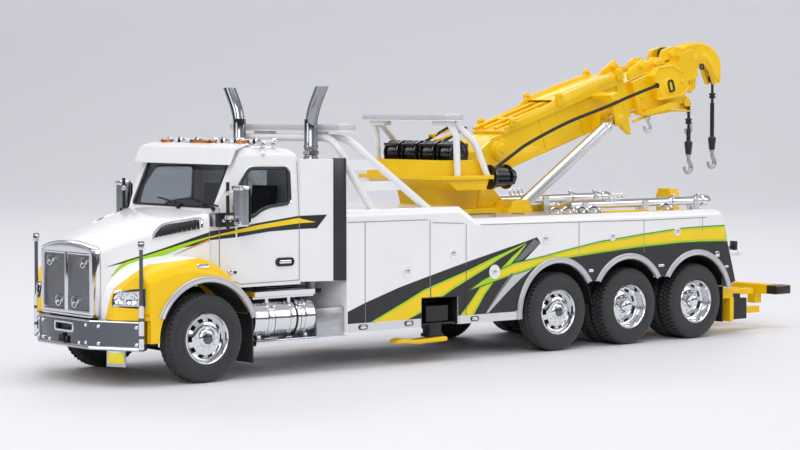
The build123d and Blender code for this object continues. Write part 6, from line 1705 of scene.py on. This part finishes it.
class TOWTRUCK_OT_tail(BuildStep):
    """Tail brackets, lamps, pads of the cross bar and the outriggers' dark pockets"""
    bl_idname = "tow_truck.tail"
    bl_label = "Tail fittings"

    def make(self, paint, sizes):
        black, _, chrome, red = range(4)
        form = Form()
        # black hose bracket and lamps on the sloping rear edge
        form.rod((179.5, 24, 24.9), (182.9, 23, 24.9), 0.55, 12, 0.12, black)
        form.block((182.4, 22.2, 24.2), (183.6, 24.2, 26.8), 0.2, black)
        for z in (21.5, 18.8):
            for y in (12.5, 16.5, 20.5):
                x = 178.3 + (27.3 - z) * 0.302
                form.lathe([(0, 0), (1.15, 0), (1.15, 0.3), (0.8, 0.5), (0, 0.5)], (x, y, z), (1, 0, 0.3), 20, chrome)
                form.lathe([(0, 0), (0.85, 0), (0.8, 0.5), (0.4, 0.8), (0, 0.85)], (x + 0.1, y, z), (1, 0, 0.3), 20,
                    red)
        # dark lining of the outrigger pockets
        form.blocks((65, 11, 9.6, 77.1, 24.6, 10.1, 0.1, black), (64.95, 12, 16.45, 77.15, 24.9, 16.68, 0.05, black),
            (64.92, 12, 9.5, 65.25, 24.9, 16.6, 0.05, black), (76.85, 12, 9.5, 77.18, 24.9, 16.6, 0.05, black),
            (65, 12, 9.6, 77.1, 12.4, 16.6, 0.05, black))
        form.mirrored().finish("tail_fittings", "truck", ["black", "yellow", "chrome", "red", "lens"], "dark_plastic")
        form = Form()
        form.blocks((204.9, 16.3, 10.1, 211.05, 20.45, 12.7, 0.3, 0), (206, 15.2, 10.4, 210.4, 16.4, 12.5, 0.15, 1))
        form.mirrored().finish("cross_bar_pads", "cross_bar", ["black", "yellow"], "dark_plastic")


# ---------------- panel and order of work
STEPS = [TOWTRUCK_OT_finishes, TOWTRUCK_OT_tyres, TOWTRUCK_OT_rims, TOWTRUCK_OT_stripes, TOWTRUCK_OT_panel_lines,
    TOWTRUCK_OT_grille, TOWTRUCK_OT_bumper, TOWTRUCK_OT_windows, TOWTRUCK_OT_cab_fittings, TOWTRUCK_OT_headlamps,
    TOWTRUCK_OT_arch_trims, TOWTRUCK_OT_roof, TOWTRUCK_OT_stacks, TOWTRUCK_OT_light_bars, TOWTRUCK_OT_tanks,
    TOWTRUCK_OT_winches, TOWTRUCK_OT_cylinders, TOWTRUCK_OT_boom, TOWTRUCK_OT_hooks, TOWTRUCK_OT_deck,
    TOWTRUCK_OT_outriggers, TOWTRUCK_OT_tail, TOWTRUCK_OT_stage]


class TOWTRUCK_PT_panel(bpy.types.Panel):
    """Steps that dress the tow truck"""
    bl_idname = "TOWTRUCK_PT_panel"
    bl_label = "Tow truck"
    bl_space_type = "VIEW_3D"
    bl_region_type = "UI"
    bl_category = "Tow truck"

    def draw(self, context):
        for group in (context.scene.tow_truck_paint, context.scene.tow_truck_sizes):
            for name in group.__annotations__:
                self.layout.prop(group, name)
        for step in STEPS:
            self.layout.operator(step.bl_idname)


CLASSES = [TowTruckPaint, TowTruckSizes, *STEPS, TOWTRUCK_PT_panel]


def register():
    for one in CLASSES:
        bpy.utils.register_class(one)
    bpy.types.Scene.tow_truck_paint = bpy.props.PointerProperty(type=TowTruckPaint)
    bpy.types.Scene.tow_truck_sizes = bpy.props.PointerProperty(type=TowTruckSizes)


def unregister():
    del bpy.types.Scene.tow_truck_paint, bpy.types.Scene.tow_truck_sizes
    for one in reversed(CLASSES):
        bpy.utils.unregister_class(one)


def main():
    register()
    for step in STEPS:
        group, name = step.bl_idname.split(".")
        if getattr(getattr(bpy.ops, group), name)() != {"FINISHED"}:
            raise RuntimeError(f"{step.bl_label} did not finish")
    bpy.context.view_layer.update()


if __name__ == "__main__":
    main()
